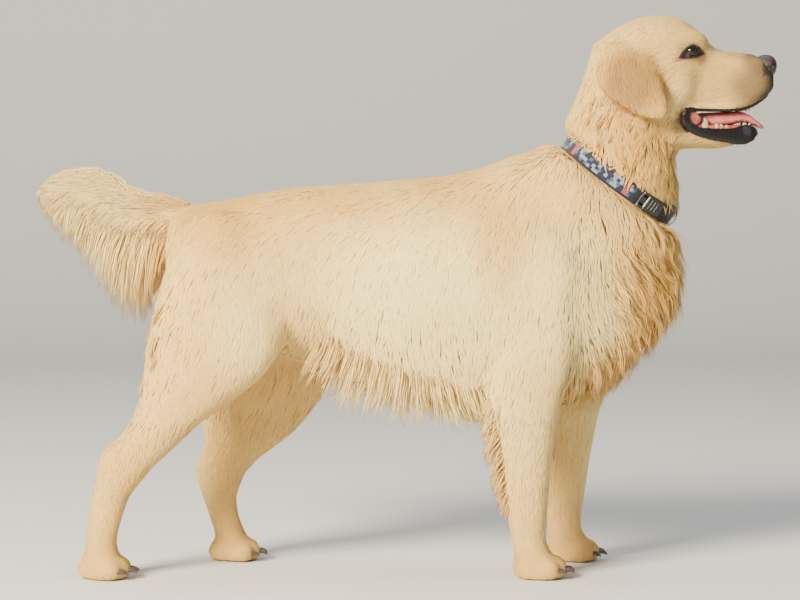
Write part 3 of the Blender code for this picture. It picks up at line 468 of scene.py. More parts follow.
def patches(points, table, reach=1.0):
    """How strongly the soft patches of a table cover each point."""
    at = beside(points)
    at = at + 0.006 * np.stack([ripple(points, 0.05, s) for s in (1.0, 2.0, 3.0)], axis=1) * reach
    clear = np.ones(len(points))
    for _, x, y, z, rx, ry, rz, strength in table:
        far = np.sqrt(((at - (x, y, z)) ** 2 / np.array((rx, ry, rz)) ** 2).sum(axis=1))
        clear *= 1 - strength * smooth_step(far, 1.25, 0.45)
    return 1 - clear


def tan_at(points):
    """How far the coat is tan rather than cream at each point; on the throat, flank and chest the tan is
    partly painted shade.
    """
    gold = GOLD * (1 - patches(points, PALE))
    return 1 - (1 - gold) * (1 - patches(points, TAN))


MOUTH_CORNER = 0.385


def between_lips(points):
    """Where the skin shows between the outer edges of the two lips."""
    x, z = points[:, 0], points[:, 2]
    low, high = read(LOWER_LIP[4:], 1, x), read(UPPER_LIP, 1, x)
    return (x > MOUTH_CORNER) & (z > low + 0.0015) & (z < high + 0.0005)


def dark_at(points, skin=True):
    """How dark the skin, or the hair on it, is at each point, with the painted shadow in front of the ears.
    """
    x, y, z = points.T
    inner = read(UPPER_LIP, 2, x) - 0.0025
    mouth = between_lips(points) | ((x > MOUTH_CORNER) & (np.abs(y) < inner) & (z > 0.616) & (z < 0.667))
    rims = smooth_step(eye_reach(points), 1.55, 1.16)
    nose = smooth_step(x, 0.4965, 0.5015) * smooth_step(z, 0.694, 0.699)
    sole = 0.85 * smooth_step(z, 0.0055, 0.0030)
    return np.maximum.reduce([patches(points, DARK, reach=0.15), rims, nose, sole, 0.95 * mouth * skin])


LEG_PARTS = ("foreleg", "forepaw", "thigh", "lower_hind_leg", "hind_paw")
FLESH = ["trunk", "neck", "head", "lower_jaw"] + [f"{part}_{side}" for side in SIDES for part in LEG_PARTS]
# The quick of the tail inside its plume: x, z, radius.
TAIL_CORE = [
    (-0.290, 0.482, 0.024), (-0.325, 0.497, 0.019), (-0.355, 0.500, 0.015), (-0.388, 0.503, 0.013),
    (-0.415, 0.524, 0.0115), (-0.445, 0.540, 0.0100), (-0.475, 0.545, 0.0080), (-0.497, 0.542, 0.0050),
]
# Toes of a paw: how far behind its front and aside, then three radii.
TOES = [
    (0.030, -0.0255, 0.0165, 0.0108, 0.0140), (0.021, -0.0098, 0.0180, 0.0112, 0.0155),
    (0.021, 0.0098, 0.0180, 0.0112, 0.0155), (0.030, 0.0255, 0.0165, 0.0108, 0.0140),
]
# Paws: front x, middle y and the way the toes point, in degrees from +X.
PAWS = {
    "forepaw_right": (0.2255, -0.086, -3.0), "forepaw_left": (0.2820, 0.086, 3.0),
    "hind_paw_right": (-0.380, -0.090, -3.0), "hind_paw_left": (-0.2095, 0.090, 3.0),
}

# Rounded masses at the front of the muzzle: x, distance out, z, then radii.
MUZZLE_MASSES = [
    (0.4975, 0.0090, 0.6870, 0.0180, 0.0135, 0.0180),
    (0.4900, 0.0175, 0.6780, 0.0155, 0.0135, 0.0170),
    (0.4990, 0.0060, 0.7010, 0.0175, 0.0125, 0.0170),
]


def averaged(mesh, values, rounds):
    """Values on the vertices, each blended with its neighbours' that many times."""
    edges, count = rows_of(mesh.edges, "vertices", 2, np.int64), len(values)
    here = np.concatenate((edges[:, 0], edges[:, 1]))
    there = np.concatenate((edges[:, 1], edges[:, 0]))
    near = np.maximum(np.bincount(here, minlength=count), 1)
    columns = values.reshape(count, -1)
    for _ in range(rounds):
        total = [np.bincount(here, weights=column[there], minlength=count) / near for column in columns.T]
        columns = 0.5 * columns + 0.5 * np.stack(total, axis=1)
    return columns.reshape(values.shape)


def bare(points):
    """1 where the coat's depth applies, less where the skin lies at the surface: mouth, nose and soles."""
    x, z = points[:, 0], points[:, 2]
    mouth = smooth_step(x, 0.378, 0.392) * smooth_step(z, 0.604, 0.612) * smooth_step(z, 0.662, 0.652)
    mouth *= smooth_step(x, 0.53, 0.515)
    nose = smooth_step(x, 0.490, 0.502)
    sole = smooth_step(z, 0.016, 0.006)
    return (1 - 0.75 * mouth) * (1 - 0.6 * nose) * (1 - 0.6 * sole)


SINK_STEPS = 5


def sink(mesh):
    """Moves the skin in from the outline by the coat's depth."""
    points = rows_of(mesh.vertices)
    depth = averaged(mesh, coat_at(points)[1][:, DEPTH] * bare(points), 6)
    for _ in range(SINK_STEPS):
        normals = averaged(mesh, rows_of(mesh.vertices, "normal"), 4)
        points = averaged(mesh, points - unit(normals) * (depth / SINK_STEPS)[:, None], 1)
        mesh.vertices.foreach_set("co", points.ravel())
        mesh.update()


def collar_seat(bm):
    """A solid oval under the collar, so that the band has neck to lie on."""
    levels = ((-0.020, -0.006), (-0.014, -0.0026), (0.014, -0.0026), (0.020, -0.006))
    loft(bm, [[collar_point(2 * math.pi * i / 48, out, up) for i in range(48)] for up, out in levels])


def toes(bm, paw):
    """The four toes of a paw with their pads."""
    front, middle, heading = PAWS[paw]
    turn = math.radians(heading)
    ahead, aside = Vector((math.cos(turn), math.sin(turn), 0)), Vector((-math.sin(turn), math.cos(turn), 0))
    base = Vector((front, middle, 0.0))
    for behind, across, *radii in TOES:
        at = base - ahead * behind + aside * across + Vector((0, 0, 0.0150))
        ball(bm, at, radii, turn)
        pad = base - ahead * (behind - 0.002) + aside * across + Vector((0, 0, 0.0062))
        ball(bm, pad, (0.0115, 0.0078, 0.0060), turn)


def build_skin():
    """The flesh sunk by the coat's depth, fused with ears, tail, muzzle, toes and the collar's seat."""
    body = bmesh.new()
    for name in FLESH:
        add_bmesh(body, copy_of(name, grow=0.0004))
    for side in SIDES:
        ball(body, (EYE.x, SIGN[side] * EYE.y, EYE.z), [EYE_RADIUS] * 3)
    outline = remeshed(body, "outline")
    sink(outline)

    skin = bmesh.new()
    skin.from_mesh(outline)
    bpy.data.meshes.remove(outline)
    for side in SIDES:
        add_bmesh(skin, copy_of(f"ear_{side}", grow=-0.0022))
    tube(skin, [(x, 0.0, z, radius) for x, z, radius in TAIL_CORE])
    collar_seat(skin)
    for sign in (-1, 1):
        for x, out, z, *radii in MUZZLE_MASSES:
            ball(skin, (x, sign * out, z), radii)
        lip = [(x - 0.001, sign * max(out - 0.0035, 0.0), z + 0.0042, 0.0042) for x, z, out, _ in UPPER_LIP]
        tube(skin, lip)
    for paw in PAWS:
        toes(skin, paw)
    bmesh.ops.recalc_face_normals(skin, faces=skin.faces)
    return remeshed(skin, "skin")


skin_mesh = build_skin()


class Flow:
    """A number in a material. Sums, differences, products and ratios of it add the nodes for them."""

    def __init__(self, paint, socket):
        self.paint = paint
        self.socket = socket

    def maths(self, operation, first, second):
        return self.paint.node("ShaderNodeMath", {"operation": operation}, {0: first, 1: second})

    def ramp(self, start, end):
        """0 at start, 1 at end and smooth between."""
        settings = {"interpolation_type": "SMOOTHSTEP"}
        return self.paint.node("ShaderNodeMapRange", settings, {0: self, 1: start, 2: end, 3: 0.0, 4: 1.0})


# +, -, * and / with a flow on either side.
for name, operation in (("add", "ADD"), ("sub", "SUBTRACT"), ("mul", "MULTIPLY"), ("truediv", "DIVIDE")):
    setattr(Flow, f"__{name}__", lambda self, other, kind=operation: self.maths(kind, self, other))
    setattr(Flow, f"__r{name}__", lambda self, other, kind=operation: self.maths(kind, other, self))


class Paint:
    """A material on the Principled shader."""

    def __init__(self, name, **constants):
        self.material = bpy.data.materials.new(name)
        self.material.use_nodes = True
        self.tree = self.material.node_tree
        self.surface = self.tree.nodes["Principled BSDF"]
        for key, value in constants.items():
            self.surface.inputs[key.replace("_", " ")].default_value = value

    def node(self, kind, settings=None, sockets=None, out=0):
        """A new node whose sockets hold numbers, colours or flows, and the flow out of it."""
        made = self.tree.nodes.new(kind)
        for key, value in (settings or {}).items():
            setattr(made, key, value)
        for key, value in (sockets or {}).items():
            if isinstance(value, Flow):
                self.tree.links.new(value.socket, made.inputs[key])
            else:
                made.inputs[key].default_value = value
        return Flow(self, made.outputs[out])

    def attribute(self, name):
        """A number that give() put on the mesh."""
        return self.node("ShaderNodeAttribute", {"attribute_name": name}, out=2)

    def place(self):
        """Where the surface lies, in metres."""
        return self.node("ShaderNodeTexCoord", out=3)

    def split(self, vector):
        return [self.node("ShaderNodeSeparateXYZ", {}, {0: vector}, out=i) for i in range(3)]

    def join(self, x, y, z):
        return self.node("ShaderNodeCombineXYZ", {}, {0: x, 1: y, 2: z})

    def noise(self, vector, scale, detail=2.0):
        sockets = {"Vector": vector, "Scale": scale, "Detail": detail}
        return self.node("ShaderNodeTexNoise", {}, sockets)

    def cells(self, vector, scale):
        return self.node("ShaderNodeTexVoronoi", {"feature": "F1"}, {"Vector": vector, "Scale": scale})

    def mix(self, share, first, second):
        first, second = [(*c, 1.0) if isinstance(c, tuple) else c for c in (first, second)]
        return self.node("ShaderNodeMix", {"data_type": "RGBA"}, {0: share, 6: first, 7: second}, out=2)

    def tint(self, colour, factor):
        """A colour made lighter or darker by a number."""
        grey = self.join(factor, factor, factor)
        settings = {"operation": "MULTIPLY"}
        return self.node("ShaderNodeVectorMath", settings, {0: colour, 1: grey})

    def bump(self, height, distance, strength=1.0):
        sockets = {"Height": height, "Distance": distance, "Strength": strength}
        self.to("Normal", self.node("ShaderNodeBump", {}, sockets))

    def to(self, socket, flow):
        self.tree.links.new(flow.socket, self.surface.inputs[socket])


CREAM_ROOT, CREAM_TIP = (0.96, 0.66, 0.25), (1.0, 0.74, 0.28)
TAN_ROOT, TAN_TIP = (0.52, 0.24, 0.045), (0.74, 0.38, 0.075)
SKIN_CREAM, SKIN_TAN = (0.96, 0.64, 0.22), (0.64, 0.30, 0.06)
DARK_HAIR_AND_SHADOW, DARK_SKIN_AND_SHADOW = (0.050, 0.036, 0.030), (0.035, 0.026, 0.024)


def paint_coat():
    soft = {"Subsurface_Weight": 0.30, "Subsurface_Scale": 0.003, "Subsurface_Radius": (1.0, 0.8, 0.6)}
    paint = Paint("coat", Roughness=0.62, Specular_IOR_Level=0.25, **soft)
    along, across, shade = [paint.attribute(key) for key in ("along", "across", "shade")]
    cream = paint.mix(along.ramp(0.0, 0.50), CREAM_ROOT, CREAM_TIP)
    tan = paint.mix(along.ramp(0.0, 0.85), TAN_ROOT, TAN_TIP)
    # The tan attribute holds tan hair and, on the throat, flank and chest, painted shade.
    hair = paint.mix(paint.attribute("tan"), cream, tan)
    strand = paint.noise(paint.join(across * 3.4 + shade * 61.0, along * 1.3, shade * 17.0), 6.0)
    hair = paint.tint(hair, 0.90 + 0.12 * shade + 0.20 * (strand - 0.5))
    # Dark hair, and painted shadow in front of the ears, come from the dark attribute.
    paint.to("Base Color", paint.mix(paint.attribute("dark"), hair, DARK_HAIR_AND_SHADOW))
    paint.bump(strand, 0.0006, 0.5)
    return paint.material


def paint_skin():
    paint = Paint("skin", Roughness=0.60, Specular_IOR_Level=0.35)
    place = paint.place()
    nap = paint.noise(place, 900.0, 3.0)
    drift = paint.noise(place, 60.0)
    # The tan attribute holds tan skin and, on the throat, flank and chest, painted shade.
    hair = paint.mix(paint.attribute("tan"), SKIN_CREAM, SKIN_TAN)
    hair = paint.tint(hair, 0.82 + 0.24 * nap + 0.16 * (drift - 0.5))
    # Dark skin, and painted shadow in front of the ears, come from the dark attribute.
    paint.to("Base Color", paint.mix(paint.attribute("dark"), hair, DARK_SKIN_AND_SHADOW))
    paint.bump(nap, 0.0008, 0.6)
    return paint.material


coat_material = paint_coat()
skin_material = paint_skin()


class Surface:
    """The skin as something to plant hair on and to comb it along."""

    def __init__(self, mesh):
        mesh.calc_loop_triangles()
        self.points = rows_of(mesh.vertices)
        self.normals = unit(averaged(mesh, rows_of(mesh.vertices, "normal"), 3))
        self.tris = rows_of(mesh.loop_triangles, "vertices", kind=np.int32)
        self.loops = rows_of(mesh.loop_triangles, "loops", kind=np.int32)
        unwrapped = len(mesh.uv_layers) > 0
        self.uv = rows_of(mesh.uv_layers[0].data, "uv", 2) if unwrapped else np.zeros((len(mesh.loops), 2))
        self.tree = BVHTree.FromPolygons(self.points.tolist(), self.tris.tolist())
        corners = self.points[self.tris]
        cross = np.cross(corners[:, 1] - corners[:, 0], corners[:, 2] - corners[:, 0])
        self.area = np.linalg.norm(cross, axis=1) / 2
        self.middle = corners.mean(axis=1)

    def nearest(self, points):
        """The closest place on the skin to each point, with its smooth outward direction."""
        found = [self.tree.find_nearest(p) for p in points.tolist()]
        spots = np.array([hit[0][:] for hit in found])
        faces = self.tris[np.array([hit[2] for hit in found])]
        return spots, unit(self.normals[faces].mean(axis=1))

    def plant(self, density):
        """Roots spread over the skin at density(points) to the square metre: places, normals and UVs."""
        share = self.area * density(self.middle, unit(self.normals[self.tris].mean(axis=1)))
        total = np.cumsum(share)
        picks = np.arange(0.5, total[-1])
        picks = np.clip(picks + chance.uniform(-0.5, 0.5, len(picks)), 0, total[-1] - 1e-6)
        faces = np.searchsorted(total, picks)
        mix = np.sqrt(chance.random(len(faces)))
        other = chance.random(len(faces))
        weights = np.stack([1 - mix, mix * (1 - other), mix * other], axis=1)[:, :, None]
        spots = (self.points[self.tris[faces]] * weights).sum(axis=1)
        normals = unit((self.normals[self.tris[faces]] * weights).sum(axis=1))
        uv = (self.uv[self.loops[faces]] * weights).sum(axis=1)
        return spots, normals, uv


def clump_pull(roots, spacing):
    """From each root, the way to the middle of its lock, and a number that its lock shares."""
    cells = {}
    for i, key in enumerate(map(tuple, np.floor(roots / spacing).astype(int).tolist())):
        cells.setdefault(key, i)
    heads = list(cells.values())
    tree = KDTree(len(heads))
    for order, i in enumerate(heads):
        tree.insert(roots[i].tolist(), order)
    tree.balance()
    nearest = np.array([tree.find(root)[1] for root in roots.tolist()])
    phase = chance.uniform(0, 2 * math.pi, len(heads))
    return roots[np.array(heads)[nearest]] - roots, phase[nearest], nearest


def tuft_faces(steps):
    """Faces of a three-sided tuft: left, right and ridge points round each place along it, then its tip."""
    left, right, ridge = 0, 1, 2
    faces, walls = [(left, right, ridge)], ((right, left), (left, ridge), (ridge, right))
    for a in range(0, 3 * steps - 3, 3):
        for p, q in walls:
            faces += [(a + p, a + q, a + 3 + q), (a + p, a + 3 + q, a + 3 + p)]
    last, tip = 3 * steps - 3, 3 * steps
    return np.array(faces + [(last + p, last + q, tip) for p, q in walls])


ROOT_DEPTH = 0.0004  # how deep in the skin tufts start
WAVE_SCALE, WAVE_HEIGHT = 0.0065, 0.0042  # length of a wave for one radian, and its height
OVER_BAND, OVER_SHARE = 0.013, 0.12  # how far a few tufts lie over the collar, and how many do
BAND_GAP = 0.0012  # the least room between the band and the hair on it


def comb(roots, normals, sizes, steps, lock, spread=0.10):
    """Paths along the skin from the roots: places, outward directions and ways to the side at each step."""
    count = len(roots)
    pull, phase, lock_of = clump_pull(roots, lock)
    length = sizes[:, LENGTH] * chance.uniform(0.78, 1.18, count)
    top = sizes[:, DEPTH] * chance.uniform(0.76, 0.96, count)
    free = np.clip(sizes[:, FREE], 0, 1)
    heading = coat_at(roots)[0] @ np.array(collar_frame()[2])
    _, beyond, rise_to = collar_place(roots)
    over = OVER_BAND * (chance.random(count) < OVER_SHARE)
    room = rise_to - COLLAR_BAND / 2 + chance.uniform(-0.006, 0.003, count) + over
    held = (rise_to > 0) & (np.abs(beyond) < 0.05) & (heading < -0.1)
    length = np.where(held, np.minimum(length, np.maximum(room, 0.004) / np.maximum(-heading, 0.3)), length)
    turn = chance.normal(0, spread, count) + 0.10 * ripple(roots, 0.06, 5.0)
    turn += 0.06 * ripple(roots, 0.025, 7.0)
    path, outs = [roots - normals * ROOT_DEPTH], [normals]
    spot, out, place = roots, normals, roots
    for step in range(1, steps + 1):
        along = coat_at(spot)[0]
        flat = unit(square_to(out, along) + 0.02 * along)
        side = np.cross(flat, out)
        flat = unit(flat + side * turn[:, None])
        stride = flat * (length / steps)[:, None] + pull * (sizes[:, CLUMP] / steps)[:, None]
        share = step / steps
        spot, out_new = skin_surface.nearest(spot + stride)
        out = unit(out + out_new)
        rise = top * (1 - (1 - share) ** 2.8) * (1 - 0.34 * share**3)
        swing = sizes[:, WAVE] * np.sin(phase + share * length / WAVE_SCALE) * share**0.8 * WAVE_HEIGHT
        on_skin = spot + out * rise[:, None] + side * swing[:, None]
        droop = np.array((0.0, 0.0, -0.7 * share))
        hang = unit((1 - 0.6 * share) * flat + 0.5 * share * along + droop + out * 0.10)
        falling = place + hang * (length / steps)[:, None] + side * (swing * 0.4)[:, None]
        loose = (free * share**0.7)[:, None]
        place = (1 - loose) * on_skin + loose * falling
        place[:, 2] = np.maximum(place[:, 2], FLOOR_GAP)
        _, beyond, height = collar_place(place)
        near_band = (np.abs(height) < COLLAR_BAND / 2 + 0.003) & (np.abs(beyond) < 0.03)
        lift = np.where(near_band, np.maximum(COLLAR_THICKNESS / 2 + BAND_GAP - beyond, 0), 0)
        place = place + out * lift[:, None]
        path.append(place)
        outs.append(out)
    return np.stack(path, axis=1), np.stack(outs, axis=1), lock_of


def tuft_profile(steps, blunt):
    """Width of a tuft at each place before its tip; it narrows after the share of its length in blunt."""
    share = np.arange(steps) / steps
    swell = 0.62 + 0.38 * np.sin(np.clip(share / 0.55, 0, 1) * math.pi / 2)
    return swell * (1 - smooth_step(share, blunt, 1.15))


TUFT_THICKNESS = 0.20  # height of a tuft's ridge against its width
PATCH = 0.003  # side of a tuft's place on the unwrap


def tufts(name, paths, outs, widths, uv, shade, roots, blunt=0.45, combed=True):
    """One piece of coat: a closed tapered tuft along each path, with its attributes and its bake patch."""
    count, places = paths.shape[:2]
    steps = places - 1
    run = paths[:, 1:] - paths[:, :-1]
    run = np.concatenate((run, run[:, -1:]), axis=1)
    run[:, 1:-1] = (run[:, 1:-1] + run[:, :-2]) / 2
    run = unit(run)
    flat_outs = unit(square_to(run, outs))
    side = np.cross(run, flat_outs)
    half = (widths[:, None] * tuft_profile(steps, blunt)[None] / 2)[:, :, None]
    body = paths[:, :steps]
    left = body - side[:, :steps] * half
    right = body + side[:, :steps] * half
    ridge = body + flat_outs[:, :steps] * half * 2 * TUFT_THICKNESS
    rings = np.stack((left, right, ridge), axis=2).reshape(count, steps * 3, 3)
    verts = np.concatenate((rings, paths[:, steps:]), axis=1)
    per = steps * 3 + 1
    soft = 0.80 * outs + 0.20 * flat_outs
    soft_side = side[:, :steps] * 0.30
    normal = np.stack((soft[:, :steps] - soft_side, soft[:, :steps] + soft_side, soft[:, :steps]), axis=2)
    normal = np.concatenate((normal.reshape(count, steps * 3, 3), soft[:, steps:]), axis=1).reshape(-1, 3)

    faces = (tuft_faces(steps)[None] + per * np.arange(count)[:, None, None]).reshape(-1, 3)
    mesh = bpy.data.meshes.new(name)
    mesh.vertices.add(count * per)
    mesh.vertices.foreach_set("co", verts.ravel())
    mesh.loops.add(faces.size)
    mesh.loops.foreach_set("vertex_index", faces.ravel().astype(np.int32))
    mesh.polygons.add(len(faces))
    mesh.polygons.foreach_set("loop_start", np.arange(0, faces.size, 3, dtype=np.int32))
    mesh.update(calc_edges=True)
    mesh.shade_smooth()
    if combed:
        mesh.normals_split_custom_set_from_vertices(unit(normal).tolist())

    share = np.append(np.repeat(np.arange(steps) / steps, 3), 1.0)
    across = np.append(np.tile((0.0, 1.0, 0.5), steps), 0.5)
    give(mesh, {
        "along": np.tile(share, count),
        "across": np.tile(across, count),
        "shade": np.repeat(shade, per),
        "tan": np.repeat(np.clip(tan_at(roots), 0, 1), per),
        "dark": np.repeat(np.clip(dark_at(roots, skin=False), 0, 1), per),
    })
    patch = np.stack((across - 0.5, share - 0.5), axis=1) * PATCH
    spread = (uv[:, None, :] + patch[None]).reshape(-1, 2)
    layer = mesh.uv_layers.new(name="OFBake")
    layer.data.foreach_set("uv", spread[faces.ravel()].ravel())
    mesh.materials.append(coat_material)
    return ride_as(link(name, mesh))


def finish_skin(mesh):
    """The skin as a finished piece, in place of every node of flesh or hair."""
    points = rows_of(mesh.vertices)
    give(mesh, {"tan": tan_at(points), "dark": dark_at(points)})
    mesh.shade_smooth()
    mesh.materials.append(skin_material)
    ears_and_fringes = ["ear_right", "ear_left", "tail", "foreleg_feather_right", "foreleg_feather_left"]
    return ride_as(link("skin", mesh), FLESH + ears_and_fringes)


def unwrap(obj):
    """An unwrap of the skin's own shape, on which every tuft has its place."""
    obj.data.uv_layers.new(name="OFBake")
    bpy.context.view_layer.objects.active = obj
    obj.select_set(True)
    bpy.ops.object.mode_set(mode="EDIT")
    bpy.ops.mesh.select_all(action="SELECT")
    bpy.ops.uv.smart_project(angle_limit=math.radians(66), island_margin=0.002)
    bpy.ops.object.mode_set(mode="OBJECT")
    obj.select_set(False)


skin_piece = finish_skin(skin_mesh)
unwrap(skin_piece)
skin_surface = Surface(skin_mesh)


def smooth_between(rows, steps):
    """The rows of numbers with more between them along a smooth curve."""
    rows = np.array(rows, dtype=float)
    padded = np.concatenate((2 * rows[:1] - rows[1:2], rows, 2 * rows[-1:] - rows[-2:-1]))
    made = []
    for i in range(1, len(rows)):
        p, q, r, s = padded[i - 1:i + 3]
        for t in np.arange(steps) / steps:
            squared, cubed = 2 * p - 5 * q + 4 * r - s, 3 * q - p - 3 * r + s
            made.append(0.5 * (2 * q + (r - p) * t + squared * t**2 + cubed * t**3))
    made.append(rows[-1])
    return np.array(made)


def finish(bm, name, material, replaced=(), measures=None):
    """Turns a bmesh into one finished piece on the dog; measures are worked out on its points."""
    bmesh.ops.recalc_face_normals(bm, faces=bm.faces)
    mesh = bpy.data.meshes.new(name)
    bm.to_mesh(mesh)
    bm.free()
    mesh.shade_smooth()
    mesh.materials.append(material)
    points = rows_of(mesh.vertices)
    give(mesh, {key: value(points) for key, value in (measures or {}).items()})
    return ride_as(link(name, mesh), replaced)


# Loops of a lid: size against the opening, height over the ball, height over the skin.
LID_LOOPS = [
    (0.80, -0.0012, -0.009), (0.93, 0.0002, -0.004), (1.00, 0.0011, 0.0006), (1.08, 0.0016, 0.0016),
    (1.20, 0.0012, 0.0020), (1.38, -0.002, 0.0017), (1.62, -0.006, 0.0006), (1.80, -0.010, -0.0022),
]


def add_lids(bm, side):
    """Thick dark lids: loops that climb from behind the eyeball, over its rim and down into the skin."""
    sign = SIGN[side]
    centre = Vector((EYE.x, sign * EYE.y, EYE.z))
    look = Vector((0.20, sign * 0.98, 0.0)).normalized()
    outline = smooth_between(np.concatenate((LID_OUTLINE, LID_OUTLINE[:1])), 5)[:-1]
    loops = []
    for size, over_ball, over_skin in LID_LOOPS:
        loop = []
        for forward, rise in outline:
            heavy = 1.05 if rise > 0 else 1.0
            flat = Vector((forward * size, 0.0, rise * size * heavy))
            at = centre + flat
            hit = skin_surface.tree.ray_cast(at + look * 0.05, -look, 0.1)[0]
            skin_height = (hit - at).dot(look) + over_skin
            gap = EYE_RADIUS**2 - (flat - look * flat.dot(look)).length_squared
            ball_height = math.sqrt(gap) + over_ball - flat.dot(look) if gap > 0 else -1.0
            low, high = sorted((skin_height, ball_height))
            blend = 0.0008 * math.exp(-(high - low) / 0.002)
            loop.append(at + look * (high + blend))
        loops.append(loop)
    loft(bm, loops)


def paint_eye():
    paint = Paint("eye", Roughness=0.16, Coat_Weight=0.35, Coat_Roughness=0.03, Specular_IOR_Level=0.2)
    ring = paint.attribute("ring")
    streak = paint.noise(paint.join(paint.attribute("spoke") * 9.0, ring * 2.0, 0.0), 3.0)
    iris = paint.mix(ring.ramp(0.34, 0.95), (0.016, 0.0065, 0.003), (0.006, 0.003, 0.002))
    iris = paint.tint(iris, 0.7 + 0.8 * streak)
    colour = paint.mix(ring.ramp(0.34, 0.40), (0.002, 0.002, 0.002), iris)
    colour = paint.mix(ring.ramp(0.95, 1.06), colour, (0.012, 0.007, 0.005))
    white = paint.mix(ring.ramp(1.15, 1.9), (0.045, 0.022, 0.016), (0.13, 0.07, 0.055))
    paint.to("Base Color", paint.mix(ring.ramp(1.06, 1.16), colour, white))
    return paint.material


def build_eye(side):
    """An eyeball with its clear bulge over iris and pupil."""
    sign = SIGN[side]
    centre = np.array((EYE.x, sign * EYE.y, EYE.z))
    look = np.array((GAZE.x, sign * GAZE.y, GAZE.z))
    bm = bmesh.new()
    ball(bm, centre.tolist(), [EYE_RADIUS] * 3, detail=64)
    for v in bm.verts:
        off = np.array(v.co) - centre
        turn = math.acos(max(-1.0, min(1.0, float(off @ look) / EYE_RADIUS)))
        swell = max(0.0, 1 - turn / 0.82)
        v.co += Vector(off / EYE_RADIUS * 0.0011 * swell**0.7)

    def ring(points):
        off = unit(points - centre)
        return np.arccos(np.clip(off @ look, -1, 1)) / 0.80

    def spoke(points):
        flat = square_to(look, points - centre)
        return np.arctan2(flat[:, 2], flat[:, 0])

    return finish(bm, f"eyeball_{side}", eye_material, [f"eye_{side}"], {"ring": ring, "spoke": spoke})


# Sections of the nose leather: x, top z, under z, half width.
NOSE = [
    (0.4878, 0.7217, 0.7070, 0.0085), (0.4928, 0.7244, 0.7028, 0.0138), (0.4998, 0.7267, 0.6992, 0.0172),
    (0.5068, 0.7272, 0.6975, 0.0180), (0.5123, 0.7257, 0.6975, 0.0165), (0.5163, 0.7227, 0.6995, 0.0132),
    (0.5186, 0.7177, 0.7035, 0.0082), (0.5193, 0.7127, 0.7085, 0.0030),
]


def build_nose():
    """The nose leather with its two comma-shaped nostrils and the groove down the middle."""
    bm = bmesh.new()
    rings = []
    for x, top, under, half in smooth_between(NOSE, 6):
        ring = []
        for c, s in turns(72):
            z = (top + under) / 2 + boxy(s, 0.85) * (top - under) / 2
            wings = 0.10 * bell(z - 0.7075, 0.006)
            ring.append((x, boxy(c, 0.80) * half * (1 + wings - 0.13 * smooth_step(z, 0.7185, 0.729)), z))
        rings.append(ring)
    loft(bm, rings)
    bmesh.ops.recalc_face_normals(bm, faces=bm.faces)
    bm.normal_update()
    moves = []
    for v in bm.verts:
        x, y, z = v.co.x, abs(v.co.y), v.co.z
        # The round hole faces forward and out; its slit runs back round the wing.
        hole = math.hypot((x - 0.5138) / 0.0062, (y - 0.0122) / 0.0048, (z - 0.7135) / 0.0046)
        deep = 0.0070 * smooth_step(hole, 1.0, 0.45)
        run = (0.5128 - x) / 0.0150
        if 0 < run < 1 and y > 0.006:
            line = 0.7105 - 0.0050 * run
            slit = abs(z - line) / (0.0023 * (1 - 0.55 * run))
            deep += 0.0036 * (1 - run) ** 0.6 * smooth_step(slit, 1.0, 0.2)
        groove = bell(y, 0.0009) * smooth_step(x, 0.508, 0.515)
        deep += 0.0011 * groove * smooth_step(z, 0.724, 0.716)
        rim = 0.0007 * bell(hole - 1.35, 0.28)
        moves.append((v, v.normal * float(rim - deep)))
    for v, move in moves:
        v.co += move
    return finish(bm, "nose_leather", paint_nose(), ["nose"])


def paint_nose():
    paint = Paint("nose", Roughness=0.38, Coat_Weight=0.25, Coat_Roughness=0.25, Specular_IOR_Level=0.45)
    x, _, z = paint.split(paint.place())
    cell = paint.cells(paint.place(), 1050.0)
    patch = paint.noise(paint.place(), 160.0)
    # Brown on the middle of the nose's sides: partly brown leather, partly a painted highlight.
    brown_and_highlight = z.ramp(0.703, 0.712) * z.ramp(0.7275, 0.720) * x.ramp(0.519, 0.511) * (0.35 + 0.6 * patch)
    colour = paint.mix(brown_and_highlight, (0.013, 0.010, 0.010), (0.034, 0.016, 0.013))
    paint.to("Base Color", paint.tint(colour, 1.15 - 0.5 * cell))
    paint.to("Roughness", 0.30 + 0.25 * cell)
    paint.bump(1.0 - cell, 0.0005, 0.7)
    return paint.material


def both_sides(rows, out_at):
    """The rows of one side, then the same mirrored back, with the distance out signed."""
    right = [tuple(-v if i == out_at else v for i, v in enumerate(row)) for row in rows]
    left = [tuple(row) for row in reversed(rows[:-1])]
    return right + left


def lip_rim(x, out, thick):
    """A little unevenness along a lip, so that its edge is never a plain line."""
    return thick * (1 + 0.07 * math.sin(x * 900 + out * 300) + 0.04 * math.sin(x * 2100))


def add_lower_lip(bm):
    """The folded dark lip of the lower jaw, from one corner of the mouth round the chin to the other."""
    rows = smooth_between(both_sides(LOWER_LIP, 4), 6)
    rings = []
    for low_x, low_z, high_x, high_z, out, thick in rows:
        outward = Vector((max((low_x + high_x) / 2 - 0.462, 0.0) * 2.0, out, 0.0)).normalized()
        low, high = Vector((low_x, out, low_z)), Vector((high_x, out, high_z))
        middle, half = (low + high) / 2, (high - low) / 2
        ring = []
        for c, s in turns(20):
            fold = 0.0007 * math.sin(3.5 * math.pi * s + high_x * 700)
            wide = lip_rim(low_x, out, thick) / 2
            reach = half * (boxy(s, 0.8) * (1 + 0.015 * math.sin(low_x * 600)))
            ring.append(middle + reach + outward * (wide * c + fold - thick * 0.28))
        rings.append(ring)
    loft(bm, rings)


